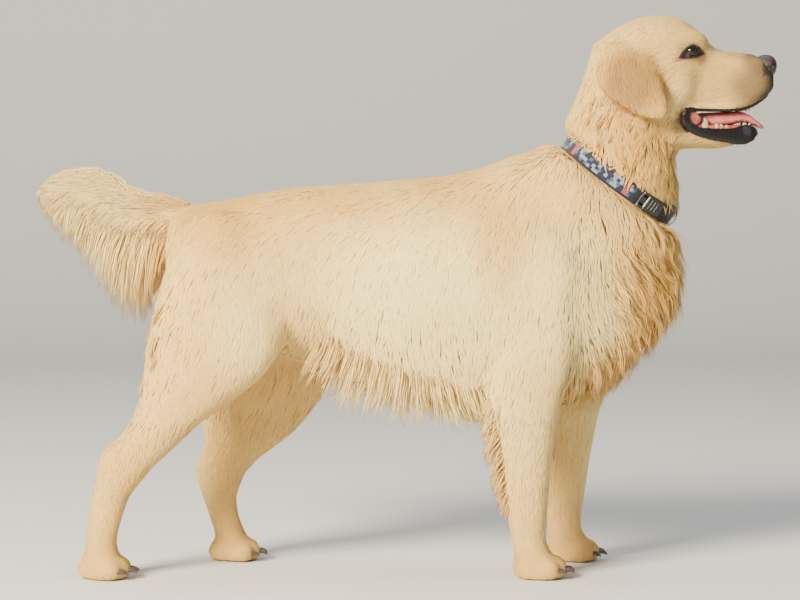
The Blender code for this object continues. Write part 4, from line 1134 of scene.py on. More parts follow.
def add_upper_lip(bm):
    """The thin dark edge of the upper lip."""
    rows = smooth_between(both_sides(UPPER_LIP, 2), 6)
    rings = []
    for (x, z, out, thick), run in zip(rows, runs([(x, out, z) for x, z, out, _ in rows])):
        inward = run.cross(Vector((0.0, 0.0, 1.0))).normalized()
        rise = inward.cross(run)
        at, wide = Vector((x, out, z)), lip_rim(x, out, thick)
        rings.append([at + inward * (wide * 0.8 * c) + rise * (wide * s) for c, s in turns(14)])
    loft(bm, rings)


def paint_lip():
    paint = Paint("lip", Roughness=0.38, Coat_Weight=0.25, Coat_Roughness=0.10, Specular_IOR_Level=0.30)
    grain = paint.noise(paint.place(), 420.0, 3.0)
    paint.to("Base Color", paint.mix(grain.ramp(0.35, 0.75), (0.003, 0.002, 0.003), (0.010, 0.007, 0.007)))
    paint.bump(grain, 0.0006, 0.5)
    return paint.material


# The tongue from root to tip: upper edge x and z, lower edge x and z, half width.
TONGUE = [
    (0.384, 0.6420, 0.384, 0.6200, 0.0135), (0.398, 0.6440, 0.398, 0.6215, 0.0165),
    (0.415, 0.6455, 0.415, 0.6225, 0.0190), (0.435, 0.6465, 0.435, 0.6250, 0.0205),
    (0.455, 0.6475, 0.454, 0.6275, 0.0210), (0.470, 0.6470, 0.466, 0.6310, 0.0205),
    (0.481, 0.6425, 0.476, 0.6315, 0.0190), (0.4900, 0.6360, 0.486, 0.6285, 0.0165),
    (0.4975, 0.6300, 0.4945, 0.6245, 0.0125), (0.5020, 0.6260, 0.5000, 0.6225, 0.0070),
]


def build_tongue():
    """The tongue, with a groove down its middle and a wavy edge, lying over the lower teeth."""
    bm = bmesh.new()
    rings = []
    for top_x, top_z, low_x, low_z, half in smooth_between(TONGUE, 6):
        top, low = Vector((top_x, 0.0, top_z)), Vector((low_x, 0.0, low_z))
        ring = []
        for c, s in turns(36):
            side = boxy(c, 0.85)
            rise = 0.5 + 0.5 * boxy(s, 0.75)
            groove = 0.0022 * bell(side, 0.16) * max(s, 0.0)
            curl = 0.0022 * abs(side) ** 2 * max(s, 0.0)
            ripple_edge = 0.0005 * math.sin(top_x * 640) * abs(side)
            at = low + (top - low) * rise
            ring.append(at + Vector((0.0, side * half, curl - groove + ripple_edge)))
        rings.append(ring)
    loft(bm, rings)
    return finish(bm, "tongue_flesh", paint_tongue(), ["tongue"])


def paint_tongue():
    paint = Paint("tongue", Roughness=0.34, Coat_Weight=0.35, Coat_Roughness=0.2, Specular_IOR_Level=0.5)
    x, _, _ = paint.split(paint.place())
    cell = paint.cells(paint.place(), 900.0)
    patch = paint.noise(paint.place(), 90.0)
    # The tip turns darker and bluer as painted shade where it hangs over the lower lip.
    colour = paint.mix(x.ramp(0.485, 0.503), (0.50, 0.115, 0.105), (0.34, 0.09, 0.13))
    colour = paint.mix(patch.ramp(0.3, 0.8), colour, (0.60, 0.17, 0.15))
    paint.to("Base Color", paint.tint(colour, 1.08 - 0.25 * cell))
    paint.bump(1.0 - cell, 0.0004, 0.6)
    return paint.material


# Teeth: x, distance out, root z, tip z, radius along and across, lean forward. Lower ones first.
TEETH = [
    (0.4060, 0.0290, 0.6220, 0.6290, 0.0048, 0.0028, 0.0),
    (0.4165, 0.0285, 0.6235, 0.6385, 0.0056, 0.0030, 0.0),
    (0.4265, 0.0275, 0.6235, 0.6278, 0.0026, 0.0020, 0.0),
    (0.4330, 0.0266, 0.6235, 0.6305, 0.0036, 0.0022, 0.1),
    (0.4395, 0.0256, 0.6235, 0.6300, 0.0028, 0.0019, 0.1),
    (0.4470, 0.0248, 0.6240, 0.6288, 0.0024, 0.0018, 0.1),
    (0.4720, 0.0165, 0.6220, 0.6325, 0.0030, 0.0028, 0.15),
    (0.4800, 0.0120, 0.6240, 0.6325, 0.0022, 0.0022, 0.2),
    (0.4840, 0.0075, 0.6240, 0.6320, 0.0020, 0.0021, 0.2),
    (0.4855, 0.0026, 0.6240, 0.6315, 0.0019, 0.0020, 0.2),
    (0.4100, 0.0330, 0.6620, 0.6490, 0.0055, 0.0030, 0.0),
    (0.4220, 0.0320, 0.6620, 0.6480, 0.0050, 0.0028, 0.0),
    (0.4330, 0.0305, 0.6620, 0.6510, 0.0036, 0.0024, 0.0),
    (0.4780, 0.0200, 0.6650, 0.6470, 0.0034, 0.0030, -0.1),
    (0.4900, 0.0110, 0.6650, 0.6555, 0.0024, 0.0022, 0.0),
    (0.4930, 0.0050, 0.6650, 0.6560, 0.0022, 0.0020, 0.0),
]


def build_teeth():
    """Blunt cones on both jaws, the same on both sides."""
    bm = bmesh.new()
    for x, out, root, tip, along, across, lean in TEETH:
        for sign in (-1, 1):
            height = tip - root
            rings = []
            for share in np.linspace(0, 1, 9):
                full = math.sqrt(max(1 - share**2.2, 0.0)) * 0.98 + 0.02
                forward, aside = x + lean * height * share**1.5, sign * (out - 0.002 * share)
                at = Vector((forward, aside, root + height * share))
                rings.append([at + Vector((along * full * c, across * full * s, 0)) for c, s in turns(12)])
            loft(bm, rings)
    return finish(bm, "teeth", paint_teeth())


def paint_teeth():
    paint = Paint("teeth", Roughness=0.35, Coat_Weight=0.1, Specular_IOR_Level=0.4)
    stain = paint.noise(paint.place(), 220.0)
    # Ivory with stains, darkened as painted shade inside the mouth.
    paint.to("Base Color", paint.mix(stain.ramp(0.35, 0.8), (0.46, 0.38, 0.26), (0.36, 0.27, 0.16)))
    return paint.material


# The inner side of a cheek: x, distance out, half thickness, half height.
CHEEK_LINING = [
    (0.378, 0.0260, 0.0040, 0.010), (0.386, 0.0330, 0.0060, 0.015), (0.396, 0.0350, 0.0045, 0.014),
    (0.404, 0.0345, 0.0030, 0.009), (0.411, 0.0335, 0.0015, 0.003),
]


# The line of the gums: x, distance out.
GUM = [
    (0.392, 0.0340), (0.405, 0.0318), (0.425, 0.0290), (0.447, 0.0258), (0.466, 0.0215), (0.480, 0.0135),
    (0.4855, 0.0),
]
# Lower and upper gum: under z, top z, shift forward, inset, and how much higher it is at the back.
GUM_ROWS = [(0.6130, 0.6285, -0.001, 0.0035, 0.005), (0.6530, 0.6680, 0.002, 0.0075, 0.0)]


def build_mouth():
    """The wet pink lining: gums on both jaws, the cheeks' inner side and the ridged roof."""
    bm = bmesh.new()
    rows = smooth_between(both_sides(GUM, 1), 5)
    for low, high, shift, inset, raised in GUM_ROWS:
        rings = []
        for (x, out), run in zip(rows, runs([(x, out, 0.0) for x, out in rows])):
            inward = Vector((-run.y, run.x, 0.0))
            scallop = 0.0008 * math.sin(x * 850)
            rear = raised * smooth_step(x, 0.43, 0.40)
            held_in = math.copysign(max(abs(out) - inset, 0.0), out)
            centre = Vector((x + shift, held_in, (low + high + rear) / 2))
            tall = Vector((0, 0, (high + rear - low) / 2 + scallop))
            rings.append([centre + inward * (0.0042 * c) + tall * s for c, s in turns(14)])
        loft(bm, rings)
    for sign in (-1, 1):
        loft(bm, [
            [(x, sign * (out + half * c), 0.6365 + tall * s) for c, s in turns(14)]
            for x, out, half, tall in CHEEK_LINING
        ])
    rings = []
    for x in np.linspace(0.372, 0.488, 60):
        half = np.interp(x, (0.372, 0.40, 0.45, 0.488), (0.026, 0.030, 0.025, 0.012))
        ridge = 0.0009 * abs(math.sin(x * 420))
        rings.append([(x, half * c, 0.6600 + (0.0075 - ridge) * s) for c, s in turns(16)])
    loft(bm, rings)
    paint = Paint("mouth", Roughness=0.30, Coat_Weight=0.5, Coat_Roughness=0.15)
    patch = paint.noise(paint.place(), 120.0)
    x, _, _ = paint.split(paint.place())
    colour = paint.mix(patch.ramp(0.3, 0.75), (0.42, 0.105, 0.075), (0.28, 0.055, 0.045))
    paint.to("Base Color", paint.mix(x.ramp(0.398, 0.386), colour, (0.10, 0.030, 0.025)))
    paint.bump(patch, 0.001, 0.4)
    return finish(bm, "mouth_lining", paint.material)


def build_lips():
    bm = bmesh.new()
    add_lower_lip(bm)
    add_upper_lip(bm)
    return finish(bm, "lips", paint_lip())


def build_lids():
    bm = bmesh.new()
    for side in SIDES:
        add_lids(bm, side)
    measures = {"edge": eye_reach, "tan": tan_at, "dark": dark_at}
    return finish(bm, "eyelids", paint_lid(), measures=measures)


def paint_lid():
    paint = Paint("eyelid", Roughness=0.40, Specular_IOR_Level=0.4)
    grain = paint.noise(paint.place(), 900.0, 3.0)
    hair = paint.mix(paint.attribute("tan"), (0.36, 0.20, 0.09), (0.30, 0.15, 0.06))
    edge = paint.attribute("edge") + 0.18 * (grain - 0.5)
    hair = paint.tint(hair, 0.75 + 0.4 * grain)
    paint.to("Base Color", paint.mix(edge.ramp(1.22, 1.55), (0.014, 0.010, 0.010), hair))
    paint.to("Roughness", edge.ramp(0.98, 1.2) * 0.35 + 0.18)
    paint.bump(grain, 0.0006, 0.5)
    return paint.material


eye_material = paint_eye()
for side in SIDES:
    build_eye(side)
build_lids()
build_nose()
build_lips()
build_tongue()
build_teeth()
build_mouth()


BUCKLE_ANGLE = math.radians(-57.0)
RING_ANGLE = math.radians(-30.0)
RING_RADIUS = 0.0152
RING_WIRE = 0.0015


def collar_axes(angle):
    """x round the collar at that angle, y up the neck, z outwards."""
    step = 0.02
    round_it = (collar_point(angle + step, 0, 0) - collar_point(angle - step, 0, 0)).normalized()
    up_neck = collar_frame()[2]
    matrix = Matrix((round_it, up_neck, round_it.cross(up_neck))).transposed().to_4x4()
    matrix.translation = collar_point(angle, 0, 0)
    return matrix


def build_band():
    """The webbing: a thick band with rolled edges, a little wavy where the neck pushes it."""
    bm = bmesh.new()
    thick, wide = COLLAR_THICKNESS / 2, COLLAR_BAND / 2
    rings = []
    for i in range(160):
        angle = 2 * math.pi * i / 160
        push = 0.0003 * math.sin(angle * 5) + 0.0002 * math.sin(angle * 11)
        ring = [(boxy(c, 0.6) * thick + push, boxy(s, 0.35) * wide) for c, s in turns(16)]
        rings.append([collar_point(angle, out, up) for out, up in ring])
    loft(bm, rings, round_it=True)
    measures = {"around": lambda p: collar_place(p)[0] * COLLAR_RADIUS, "wide": lambda p: collar_place(p)[2]}
    return finish(bm, "collar_webbing", paint_webbing(), ["collar"], measures)


TILE_LENGTH, TILE_HEIGHT = 0.0050, 0.0048


def paint_webbing():
    """Woven ribs under rows of plain blocks in blues, with an accent; the band is bare by the buckle."""
    paint = Paint("webbing", Roughness=0.75, Specular_IOR_Level=0.3, Sheen_Weight=0.2)

    def single(operation, value):
        return paint.node("ShaderNodeMath", {"operation": operation}, {0: value})

    around, wide = paint.attribute("around"), paint.attribute("wide")
    ribs = single("SINE", around * 3900.0) * single("SINE", wide * 3600.0)
    row = single("FLOOR", wide / TILE_HEIGHT)
    column = single("FLOOR", around / TILE_LENGTH + 0.5 * row)
    tile = paint.join(column, row, 3.0)
    pick = paint.node("ShaderNodeTexWhiteNoise", {"noise_dimensions": "3D"}, {"Vector": tile})
    inner = single("ABSOLUTE", wide).ramp(0.0092, 0.0086)
    block = paint.mix(pick.ramp(0.55, 0.60), (0.016, 0.024, 0.055), (0.07, 0.11, 0.20))
    block = paint.mix(pick.ramp(0.78, 0.80), block, (0.26, 0.31, 0.38))
    accent = single("FRACT", around / 0.0930 + 0.36).ramp(0.085, 0.080)
    block = paint.mix(accent * inner, block, (0.42, 0.08, 0.09))
    bare_end, block_start = (math.radians(turn) * COLLAR_RADIUS for turn in (74, 77))
    decorated = single("ABSOLUTE", around).ramp(bare_end, block_start)
    colour = paint.mix(inner * decorated, (0.012, 0.014, 0.024), block)
    paint.to("Base Color", paint.tint(colour, 0.85 + 0.25 * ribs))
    paint.bump(ribs, 0.0005, 0.6)
    return paint.material


def rounded_block(bm, matrix, size, detail):
    """A block with soft corners and edges."""
    long, wide, thick = (v / 2 for v in size)
    rings = []
    for x in np.linspace(-1, 1, detail * 2 + 1):
        ease = (1 - abs(x) ** 8) ** 0.35 if abs(x) < 1 else 0.04
        side, rise = wide * (0.90 + 0.10 * ease), thick * ease
        ring = [(x * long, boxy(c, 0.35) * side, boxy(s, 0.35) * rise) for c, s in turns(24)]
        rings.append([matrix @ Vector(point) for point in ring])
    loft(bm, rings)


# Blocks of the buckle: place round the collar, up the neck and out, size, and how finely it is made.
BUCKLE = [
    (Vector((0.0030, 0.0, 0.0048)), (0.0300, 0.0250, 0.0090), 10),
    (Vector((-0.0155, 0.0098, 0.0040)), (0.0130, 0.0046, 0.0068), 10),
    (Vector((-0.0155, -0.0098, 0.0040)), (0.0130, 0.0046, 0.0068), 10),
    (Vector((-0.0150, 0.0, 0.0034)), (0.0150, 0.0110, 0.0056), 10),
    (Vector((-0.0205, 0.0, 0.0030)), (0.0040, 0.0245, 0.0058), 10),
]
BUCKLE += [(Vector((shift, 0.0, 0.0095)), (0.0022, 0.0150, 0.0012), 5) for shift in (-0.004, 0.0015, 0.007)]


def build_buckle():
    """A moulded side-release buckle: body, side arms, raised middle and the bar the strap turns round."""
    bm = bmesh.new()
    axes = collar_axes(BUCKLE_ANGLE)
    lift = COLLAR_THICKNESS / 2 + 0.0003
    for at, size, detail in BUCKLE:
        rounded_block(bm, axes @ Matrix.Translation(at + Vector((0, 0, lift))), size, detail)
    paint = Paint("buckle", Base_Color=(0.008, 0.008, 0.009, 1.0), Roughness=0.28, Specular_IOR_Level=0.55)
    paint.bump(paint.noise(paint.place(), 1500.0), 0.0002, 0.35)
    return finish(bm, "buckle", paint.material, ["collar_buckle"])


def build_ring():
    """The D ring: a half circle of wire closed by a straight bar under the band."""
    bm = bmesh.new()
    bar = -COLLAR_THICKNESS / 2 - RING_WIRE - 0.0003
    arc = np.linspace(-math.pi / 2, math.pi / 2, 33)
    path = [(RING_WIRE + RING_RADIUS * math.cos(a), RING_RADIUS * math.sin(a)) for a in arc]
    straight = np.linspace(RING_RADIUS - RING_WIRE, RING_WIRE - RING_RADIUS, 9)
    path += [(bar, float(up)) for up in straight]
    axes = collar_axes(RING_ANGLE)
    rings = []
    for i, spot in enumerate(path):
        run = (Vector(path[(i + 1) % len(path)]) - Vector(path[i - 1])).normalized()
        across = Vector((run.y, -run.x))
        ring = []
        for c, s in turns(12):
            out, up = Vector(spot) + across * (RING_WIRE * c)
            ring.append(axes @ Vector((RING_WIRE * s, up, out)))
        rings.append(ring)
    loft(bm, rings, round_it=True)
    paint = Paint("ring", Base_Color=(0.075, 0.075, 0.085, 1.0), Roughness=0.28, Metallic=1.0)
    return finish(bm, "d_ring", paint.material, ["collar_ring"])


def build_claws(paw):
    """The four claws of a paw: horn that curves forward and down out of the toes."""
    bm = bmesh.new()
    names = [f"claw_{paw}_{number}" for number in range(1, 5)]
    for name in names:
        low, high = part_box(name)
        y = (low[1] + high[1]) / 2
        start = Vector((low[0] - 0.004, y, high[2] - 0.0034))
        bend = Vector((low[0] + (high[0] - low[0]) * 0.62, y, high[2] - 0.0016))
        tip = Vector((high[0] - 0.0003, y, low[2] + 0.0010))
        path = []
        for share in np.linspace(0, 1, 12):
            at = start * (1 - share) ** 2 + bend * (2 * share * (1 - share)) + tip * share**2
            path.append((*at, 0.0032 * (1 - share**2.2) ** 0.8 + 0.0003))
        tube(bm, path, sides=12)
    return finish(bm, f"claws_{paw}", claw_material, names)


def paint_claw():
    paint = Paint("claw", Roughness=0.32, Specular_IOR_Level=0.5, Coat_Weight=0.2)
    grain = paint.noise(paint.place(), 500.0)
    paint.to("Base Color", paint.mix(grain.ramp(0.3, 0.8), (0.030, 0.022, 0.018), (0.11, 0.075, 0.055)))
    return paint.material


claw_material = paint_claw()
for paw in PAWS:
    build_claws(paw)
build_band()
build_buckle()
build_ring()


def hairless(points, normals):
    """1 where no hair is planted: eyes, nose, lips, mouth, soles and under the collar."""
    x, z = points[:, 0], points[:, 2]
    eye = eye_reach(points) < 1.42
    nose = (x > 0.502) & (z > 0.6985)
    lips = between_lips(points)
    roof = (x > MOUTH_CORNER) & (z < 0.665) & (z > 0.63) & (normals[:, 2] < -0.5)
    floor = (x > MOUTH_CORNER) & (z < 0.64) & (z > 0.60) & (normals[:, 2] > 0.4)
    sole = z < 0.004
    _, out, up = collar_place(points)
    band = (np.abs(up) < COLLAR_BAND / 2 - 0.001) & (np.abs(out) < 0.012)
    tail = (x < -0.330) & (z > 0.475)
    return eye | nose | lips | roof | floor | sole | band | tail


def density(points, normals, cover):
    """Tufts to the square metre that cover the skin that many times."""
    sizes = coat_at(points)[1]
    return np.where(hairless(points, normals), 0.0, cover * 2 / (sizes[:, WIDTH] * sizes[:, LENGTH]))


# Pieces of coat: where each lies by x, z and being over the collar, how many tufts deep it covers, places
# along a tuft, spacing of its locks.
AREAS = {
    "coat_muzzle": (lambda x, z, over: over & (x > 0.365), 2.4, 2, 0.010),
    "coat_skull": (lambda x, z, over: over & (x <= 0.365) & (z > 0.655), 3.0, 2, 0.012),
    "coat_neck": (lambda x, z, over: over & (x <= 0.365) & (z <= 0.655), 3.3, 4, 0.014),
    "coat_chest": (lambda x, z, over: ~over & (x > 0.225) & (z > 0.10), 3.2, 3, 0.015),
    "coat_ribs": (lambda x, z, over: ~over & (x <= 0.225) & (x > 0.0) & (z > 0.235), 3.9, 2, 0.012),
    "coat_flank": (lambda x, z, over: (x <= 0.0) & (x > -0.20) & (z > 0.235), 4.2, 2, 0.012),
    "coat_rump": (lambda x, z, over: (x <= -0.20) & (z > 0.235), 4.2, 2, 0.012),
    "coat_forelegs": (
        lambda x, z, over: (x > 0.0) & (z <= 0.235) & ~((x > 0.225) & (z > 0.10)), 2.0, 2, 0.012,
    ),
    "coat_hind_legs": (lambda x, z, over: (x <= 0.0) & (z <= 0.235), 1.9, 2, 0.012),
}


def grow_coat(name, area, cover, steps, lock):
    """A piece of combed coat over one area."""

    def planted(points, facing):
        inside = area(points[:, 0], points[:, 2], collar_place(points)[2] > 0)
        return np.where(inside, density(points, facing, cover), 0.0)

    roots, normals, uv = skin_surface.plant(planted)
    sizes = coat_at(roots)[1]
    paths, outs, lock_of = comb(roots, normals, sizes, steps, lock)
    widths = sizes[:, WIDTH] * chance.uniform(0.75, 1.2, len(roots))
    shared = chance.random(lock_of.max() + 1)[lock_of]
    return tufts(name, paths, outs, widths, uv, 0.5 * shared + 0.5 * chance.random(len(roots)), roots)


def region(points, normals, table):
    """Where locks may grow: in the table's patches, clear of the collar and of bare skin."""
    up = collar_place(points)[2]
    clear = ((up > 0.034) | (up < -0.016)) & ~hairless(points, normals)
    return patches(points, table, reach=0.3) * clear


STRAND_SPREAD = 0.0045  # how far from a lock's root its strands start
STRAND_DEPTH = 0.0006


def locks(name, table, heads, strands, steps, length, lift, wave, free):
    """Locks of long hair: strands that start round a lock's root and meet along its waving way."""
    roots, normals, uv = skin_surface.plant(lambda points, facing: region(points, facing, table) * heads)
    count = len(roots)
    sizes = coat_at(roots)[1]
    sizes[:, LENGTH] *= length
    sizes[:, WAVE] = wave
    sizes[:, CLUMP] = 0.0
    sizes[:, FREE] = free * chance.uniform(0.2, 1.4, count)
    ways, outs, _ = comb(roots, normals, sizes, steps, lock=0.004, spread=0.20)
    share = np.arange(steps + 1) / steps
    raised = lift * chance.uniform(0.3, 1.3, count)
    ways = ways + outs * (raised[:, None] * share[None] ** 1.3)[:, :, None]
    ways, outs = np.repeat(ways, strands, axis=0), np.repeat(outs, strands, axis=0)
    first, facing = ways[:, 0], outs[:, 0]
    aside = chance.normal(0, STRAND_SPREAD, (count * strands, 3))
    spots, _ = skin_surface.nearest(first + square_to(facing, aside))
    apart = spots - first - facing * STRAND_DEPTH
    meet = 1 - 0.90 * share ** 0.8
    slack = chance.normal(0, 0.0010, (count * strands, 1, 3)) * share[None, :, None]
    paths = ways + apart[:, None] * meet[None, :, None] + slack
    trim = chance.uniform(0.72, 1.0, count * strands)
    paths = paths[:, :1] + (paths - paths[:, :1]) * trim[:, None, None]
    paths[:, :, 2] = np.maximum(paths[:, :, 2], FLOOR_GAP)
    widths = chance.uniform(0.0013, 0.0026, count * strands)
    shade = 0.6 * np.repeat(chance.random(count), strands) + 0.4 * chance.random(count * strands)
    uv = np.repeat(uv, strands, axis=0)
    return tufts(name, paths, outs, widths, uv, shade, spots, blunt=0.25, combed=False)


# Where locks lie: place, x, distance from the middle plane, z, three radii, strength.
BREAST = [
    ("chest side", 0.335, 0.060, 0.420, 0.070, 0.070, 0.110, 1.0),
    ("prow", 0.370, 0.000, 0.430, 0.040, 0.060, 0.080, 1.0),
    ("lower chest", 0.290, 0.050, 0.280, 0.060, 0.080, 0.060, 1.0),
]
RUFF = [
    ("throat", 0.350, 0.050, 0.580, 0.050, 0.060, 0.060, 1.0),
    ("neck side", 0.290, 0.070, 0.600, 0.060, 0.050, 0.050, 0.8),
    ("behind ear", 0.265, 0.070, 0.650, 0.030, 0.040, 0.040, 0.8),
]
SKIRT = [
    ("belly edge", 0.040, 0.100, 0.275, 0.120, 0.050, 0.035, 1.0),
    ("fold of the flank", -0.110, 0.090, 0.310, 0.060, 0.050, 0.035, 0.9),
]
BREECHES = [
    ("behind the thigh", -0.350, 0.060, 0.370, 0.035, 0.060, 0.090, 1.0),
]


for name, (area, cover, steps, lock) in AREAS.items():
    grow_coat(name, area, cover, steps, lock)


def bent(starts, middles, ends, steps):
    """Smooth paths from starts to ends that lean towards middles."""
    share = np.linspace(0, 1, steps + 1)[None, :, None]
    a, b, c = starts[:, None], middles[:, None], ends[:, None]
    return (1 - share) ** 2 * a + 2 * share * (1 - share) * b + share**2 * c


def uv_near(points):
    """Where on the unwrap the skin nearest each point lies."""
    found = np.array([skin_surface.tree.find_nearest(p)[2] for p in points.tolist()])
    return skin_surface.uv[skin_surface.loops[found]].mean(axis=1)


def waved(paths, outs, amount, length, lock_phase):
    """The paths with a wave from side to side that grows towards the tips."""
    share = np.linspace(0, 1, paths.shape[1])[None, :]
    run = paths[:, -1] - paths[:, 0]
    side = unit(np.cross(run, outs[:, 0]))
    far = np.linalg.norm(run, axis=1)[:, None] * share
    swing = amount * share * np.sin(lock_phase[:, None] + far * (2 * math.pi / length))
    return paths + side[:, None] * swing[:, :, None]


def fringe(name, strands, faced, steps, wave, thin_to_thick, phase):
    """A piece of long hair: strands given by their starts, middles and ends, facing one way each."""
    starts, middles, ends = strands
    outs = np.repeat(unit(faced)[:, None], steps + 1, axis=1)
    paths = waved(bent(starts, middles, ends, steps), outs, *wave, phase)
    widths = chance.uniform(*thin_to_thick, len(starts))
    shade = chance.random(len(starts))
    return tufts(name, paths, outs, widths, uv_near(starts), shade, starts, blunt=0.30, combed=False)


# The outline of the tail's plume, over and under it, from root to tip: x, z.
TAIL_TOP = np.array([
    (-0.300, 0.512), (-0.330, 0.526), (-0.362, 0.533), (-0.390, 0.536), (-0.415, 0.561), (-0.449, 0.571),
    (-0.486, 0.567), (-0.508, 0.555), (-0.521, 0.538),
])
TAIL_UNDER = np.array([
    (-0.318, 0.444), (-0.344, 0.404), (-0.368, 0.356), (-0.402, 0.368), (-0.432, 0.408), (-0.463, 0.452),
    (-0.491, 0.477), (-0.510, 0.506), (-0.520, 0.526),
])


def along_curve(table, share):
    """Points of a table of (x, z) at shares of its length, smoothly."""
    at = share * (len(table) - 1)
    return np.stack([np.interp(at, range(len(table)), table[:, k]) for k in range(2)], axis=1)


def plume(name, count, steps, lower):
    """Hair of the tail: from the quick up and back over its top, or down and back into the fringe."""
    share = chance.random(count) ** (0.9 if lower else 1.0)
    core = np.array([(x, z) for x, z, _ in TAIL_CORE])
    root = along_curve(core, np.clip(share * 0.97 + 0.02, 0, 1))
    thick = np.interp(share * 7, range(8), [radius for _, _, radius in TAIL_CORE])
    turn = chance.uniform(-1.0, 1.0, count)
    sign = np.where(turn < 0, -1.0, 1.0)
    swell = np.sin(np.clip(0.18 + 0.80 * share, 0, 1) * math.pi) ** 0.5
    spread = np.sign(turn) * np.abs(turn) ** 0.8 if lower else turn
    rise = thick * (1 - np.abs(spread)) * (-0.6 if lower else 0.6)
    starts = np.stack([root[:, 0], spread * thick * 0.9, root[:, 1] + rise], axis=1)
    if lower:
        goal = along_curve(TAIL_UNDER, np.clip(share * 0.93 + 0.05 + chance.normal(0, 0.02, count), 0, 1))
        reach = chance.uniform(0.30, 1.16, count) ** 0.75
        width = spread * 0.034 * swell * chance.uniform(0.75, 1.05, count)
        end = root + (goal - root) * reach[:, None]
        ends = np.stack([end[:, 0], width * (0.5 + 0.5 * reach), end[:, 1]], axis=1)
        middles = (starts + ends) / 2
        middles[:, 0] -= 0.020 * reach * (1 - 0.7 * share) + chance.normal(0, 0.0035, count)
        middles[:, 1] = width * 1.1
        middles[:, 2] += 0.012 * reach
    else:
        goal = along_curve(TAIL_TOP, np.clip(share + 0.07, 0, 1))
        reach = chance.uniform(0.55, 1.02, count)
        height = np.maximum(goal[:, 1] - root[:, 1], 0.010)
        fall = np.abs(spread) ** 2
        lift = height * reach * (1 - fall) * 0.97
        back = 0.045 * chance.uniform(0.6, 1.1, count)
        end_x = np.maximum(starts[:, 0] - back, TAIL_TOP[-1, 0] + 0.002 + 0.01 * fall)
        slope = np.interp(-end_x, -TAIL_TOP[:, 0], TAIL_TOP[:, 1])
        end_z = np.minimum(starts[:, 2] + lift, slope - 0.001) - 0.045 * fall * reach
        width = sign * 0.033 * swell * np.abs(spread) ** 0.7
        ends = np.stack([end_x, width, end_z], axis=1)
        high = np.maximum(starts[:, 2], end_z) + 0.006 * (1 - fall)
        middles = np.stack([starts[:, 0] - back * 0.25, width * 0.9, high], axis=1)
    pull, phase, _ = clump_pull(ends, 0.016)
    ends = ends + pull * (0.62 if lower else 0.25)
    aside = np.where(np.abs(turn) < 0.1, 0.6, 1.0) * sign
    upward = np.full(count, 0.25) if lower else 1.0 - 0.6 * np.abs(turn)
    faced = np.stack([np.full(count, -0.15), aside, upward], axis=1)
    wave = (0.0030 if lower else 0.0012, 0.045)
    return fringe(name, (starts, middles, ends), faced, steps, wave, (0.0010, 0.0024), phase)


def underside(points):
    """The lowest skin over each (x, y), looking up from the floor."""
    found = []
    for x, y in points.tolist():
        hit = skin_surface.tree.ray_cast((x, y, 0.16), (0.0, 0.0, 1.0), 0.25)[0]
        found.append(hit[2] if hit is not None else 0.30)
    return np.array(found)


def belly_fringe(name, count, steps):
    """Long pale strands along the belly that part, cross and come together in points."""
    x = chance.uniform(-0.125, 0.135, count)
    y = chance.choice((-1.0, 1.0), count) * chance.uniform(0.15, 1.0, count) ** 0.6 * 0.082
    z = underside(np.stack([x, y], axis=1))
    starts = np.stack([x, y, z + 0.004], axis=1)
    lean = np.interp(x, (-0.12, -0.03, 0.04, 0.12), (-0.60, -0.25, 0.20, 0.60))
    tip_z = np.interp(x, (-0.12, -0.09, -0.06, 0.0, 0.06, 0.13), (0.272, 0.245, 0.222, 0.208, 0.202, 0.206))
    fall = np.maximum(z - tip_z, 0.015) * (0.42 + 0.68 * chance.random(count) ** 1.5)
    ends = starts + np.stack([lean * fall * 0.9, y * 0.12, -fall - 0.004], axis=1)
    pull, phase, _ = clump_pull(ends, 0.013)
    ends = ends + pull * 0.75
    drift = chance.normal(0, 0.004, count) - lean * 0.010
    level = np.zeros(count)
    middles = starts * 0.5 + ends * 0.5 + np.stack([drift, y * 0.10, level], axis=1)
    faced = np.stack([level, np.sign(y), level], axis=1)
    return fringe(name, (starts, middles, ends), faced, steps, (0.0022, 0.05), (0.0012, 0.0026), phase)


def foreleg_feathers(name, count, steps):
    """The fringe behind each forearm, which leans back and down."""
    z = chance.uniform(0.10, 0.265, count)
    sign = chance.choice((-1.0, 1.0), count)
    ahead = np.where(sign > 0, np.interp(z, *FORELEG_LEAD), 0.0)
    rear = np.interp(z, (0.087, 0.125, 0.167, 0.205, 0.24, 0.28), (0.145, 0.139, 0.135, 0.130, 0.122, 0.118))
    middle = 0.084
    y = sign * (middle + chance.uniform(-0.013, 0.013, count))
    starts = np.stack([rear + 0.004 + ahead, y, z], axis=1)
    heights = (0.10, 0.15, 0.22, 0.26)
    drop = np.interp(z, heights, (0.022, 0.034, 0.044, 0.042)) * chance.uniform(0.6, 1.1, count)
    back = np.interp(z, heights, (0.008, 0.017, 0.021, 0.016)) * chance.uniform(0.4, 1.2, count)
    ends = starts + np.stack([-back - 0.004, (y - sign * middle) * 0.5, -drop], axis=1)
    pull, phase, _ = clump_pull(ends, 0.012)
    ends = ends + pull * 0.7
    level = np.zeros(count)
    middles = (starts + ends) / 2 + np.stack([-back * 0.35, level, drop * 0.15], axis=1)
    faced = np.stack([level - 0.3, np.sign(y - sign * middle), level], axis=1)
    return fringe(name, (starts, middles, ends), faced, steps, (0.0018, 0.04), (0.0012, 0.0025), phase)


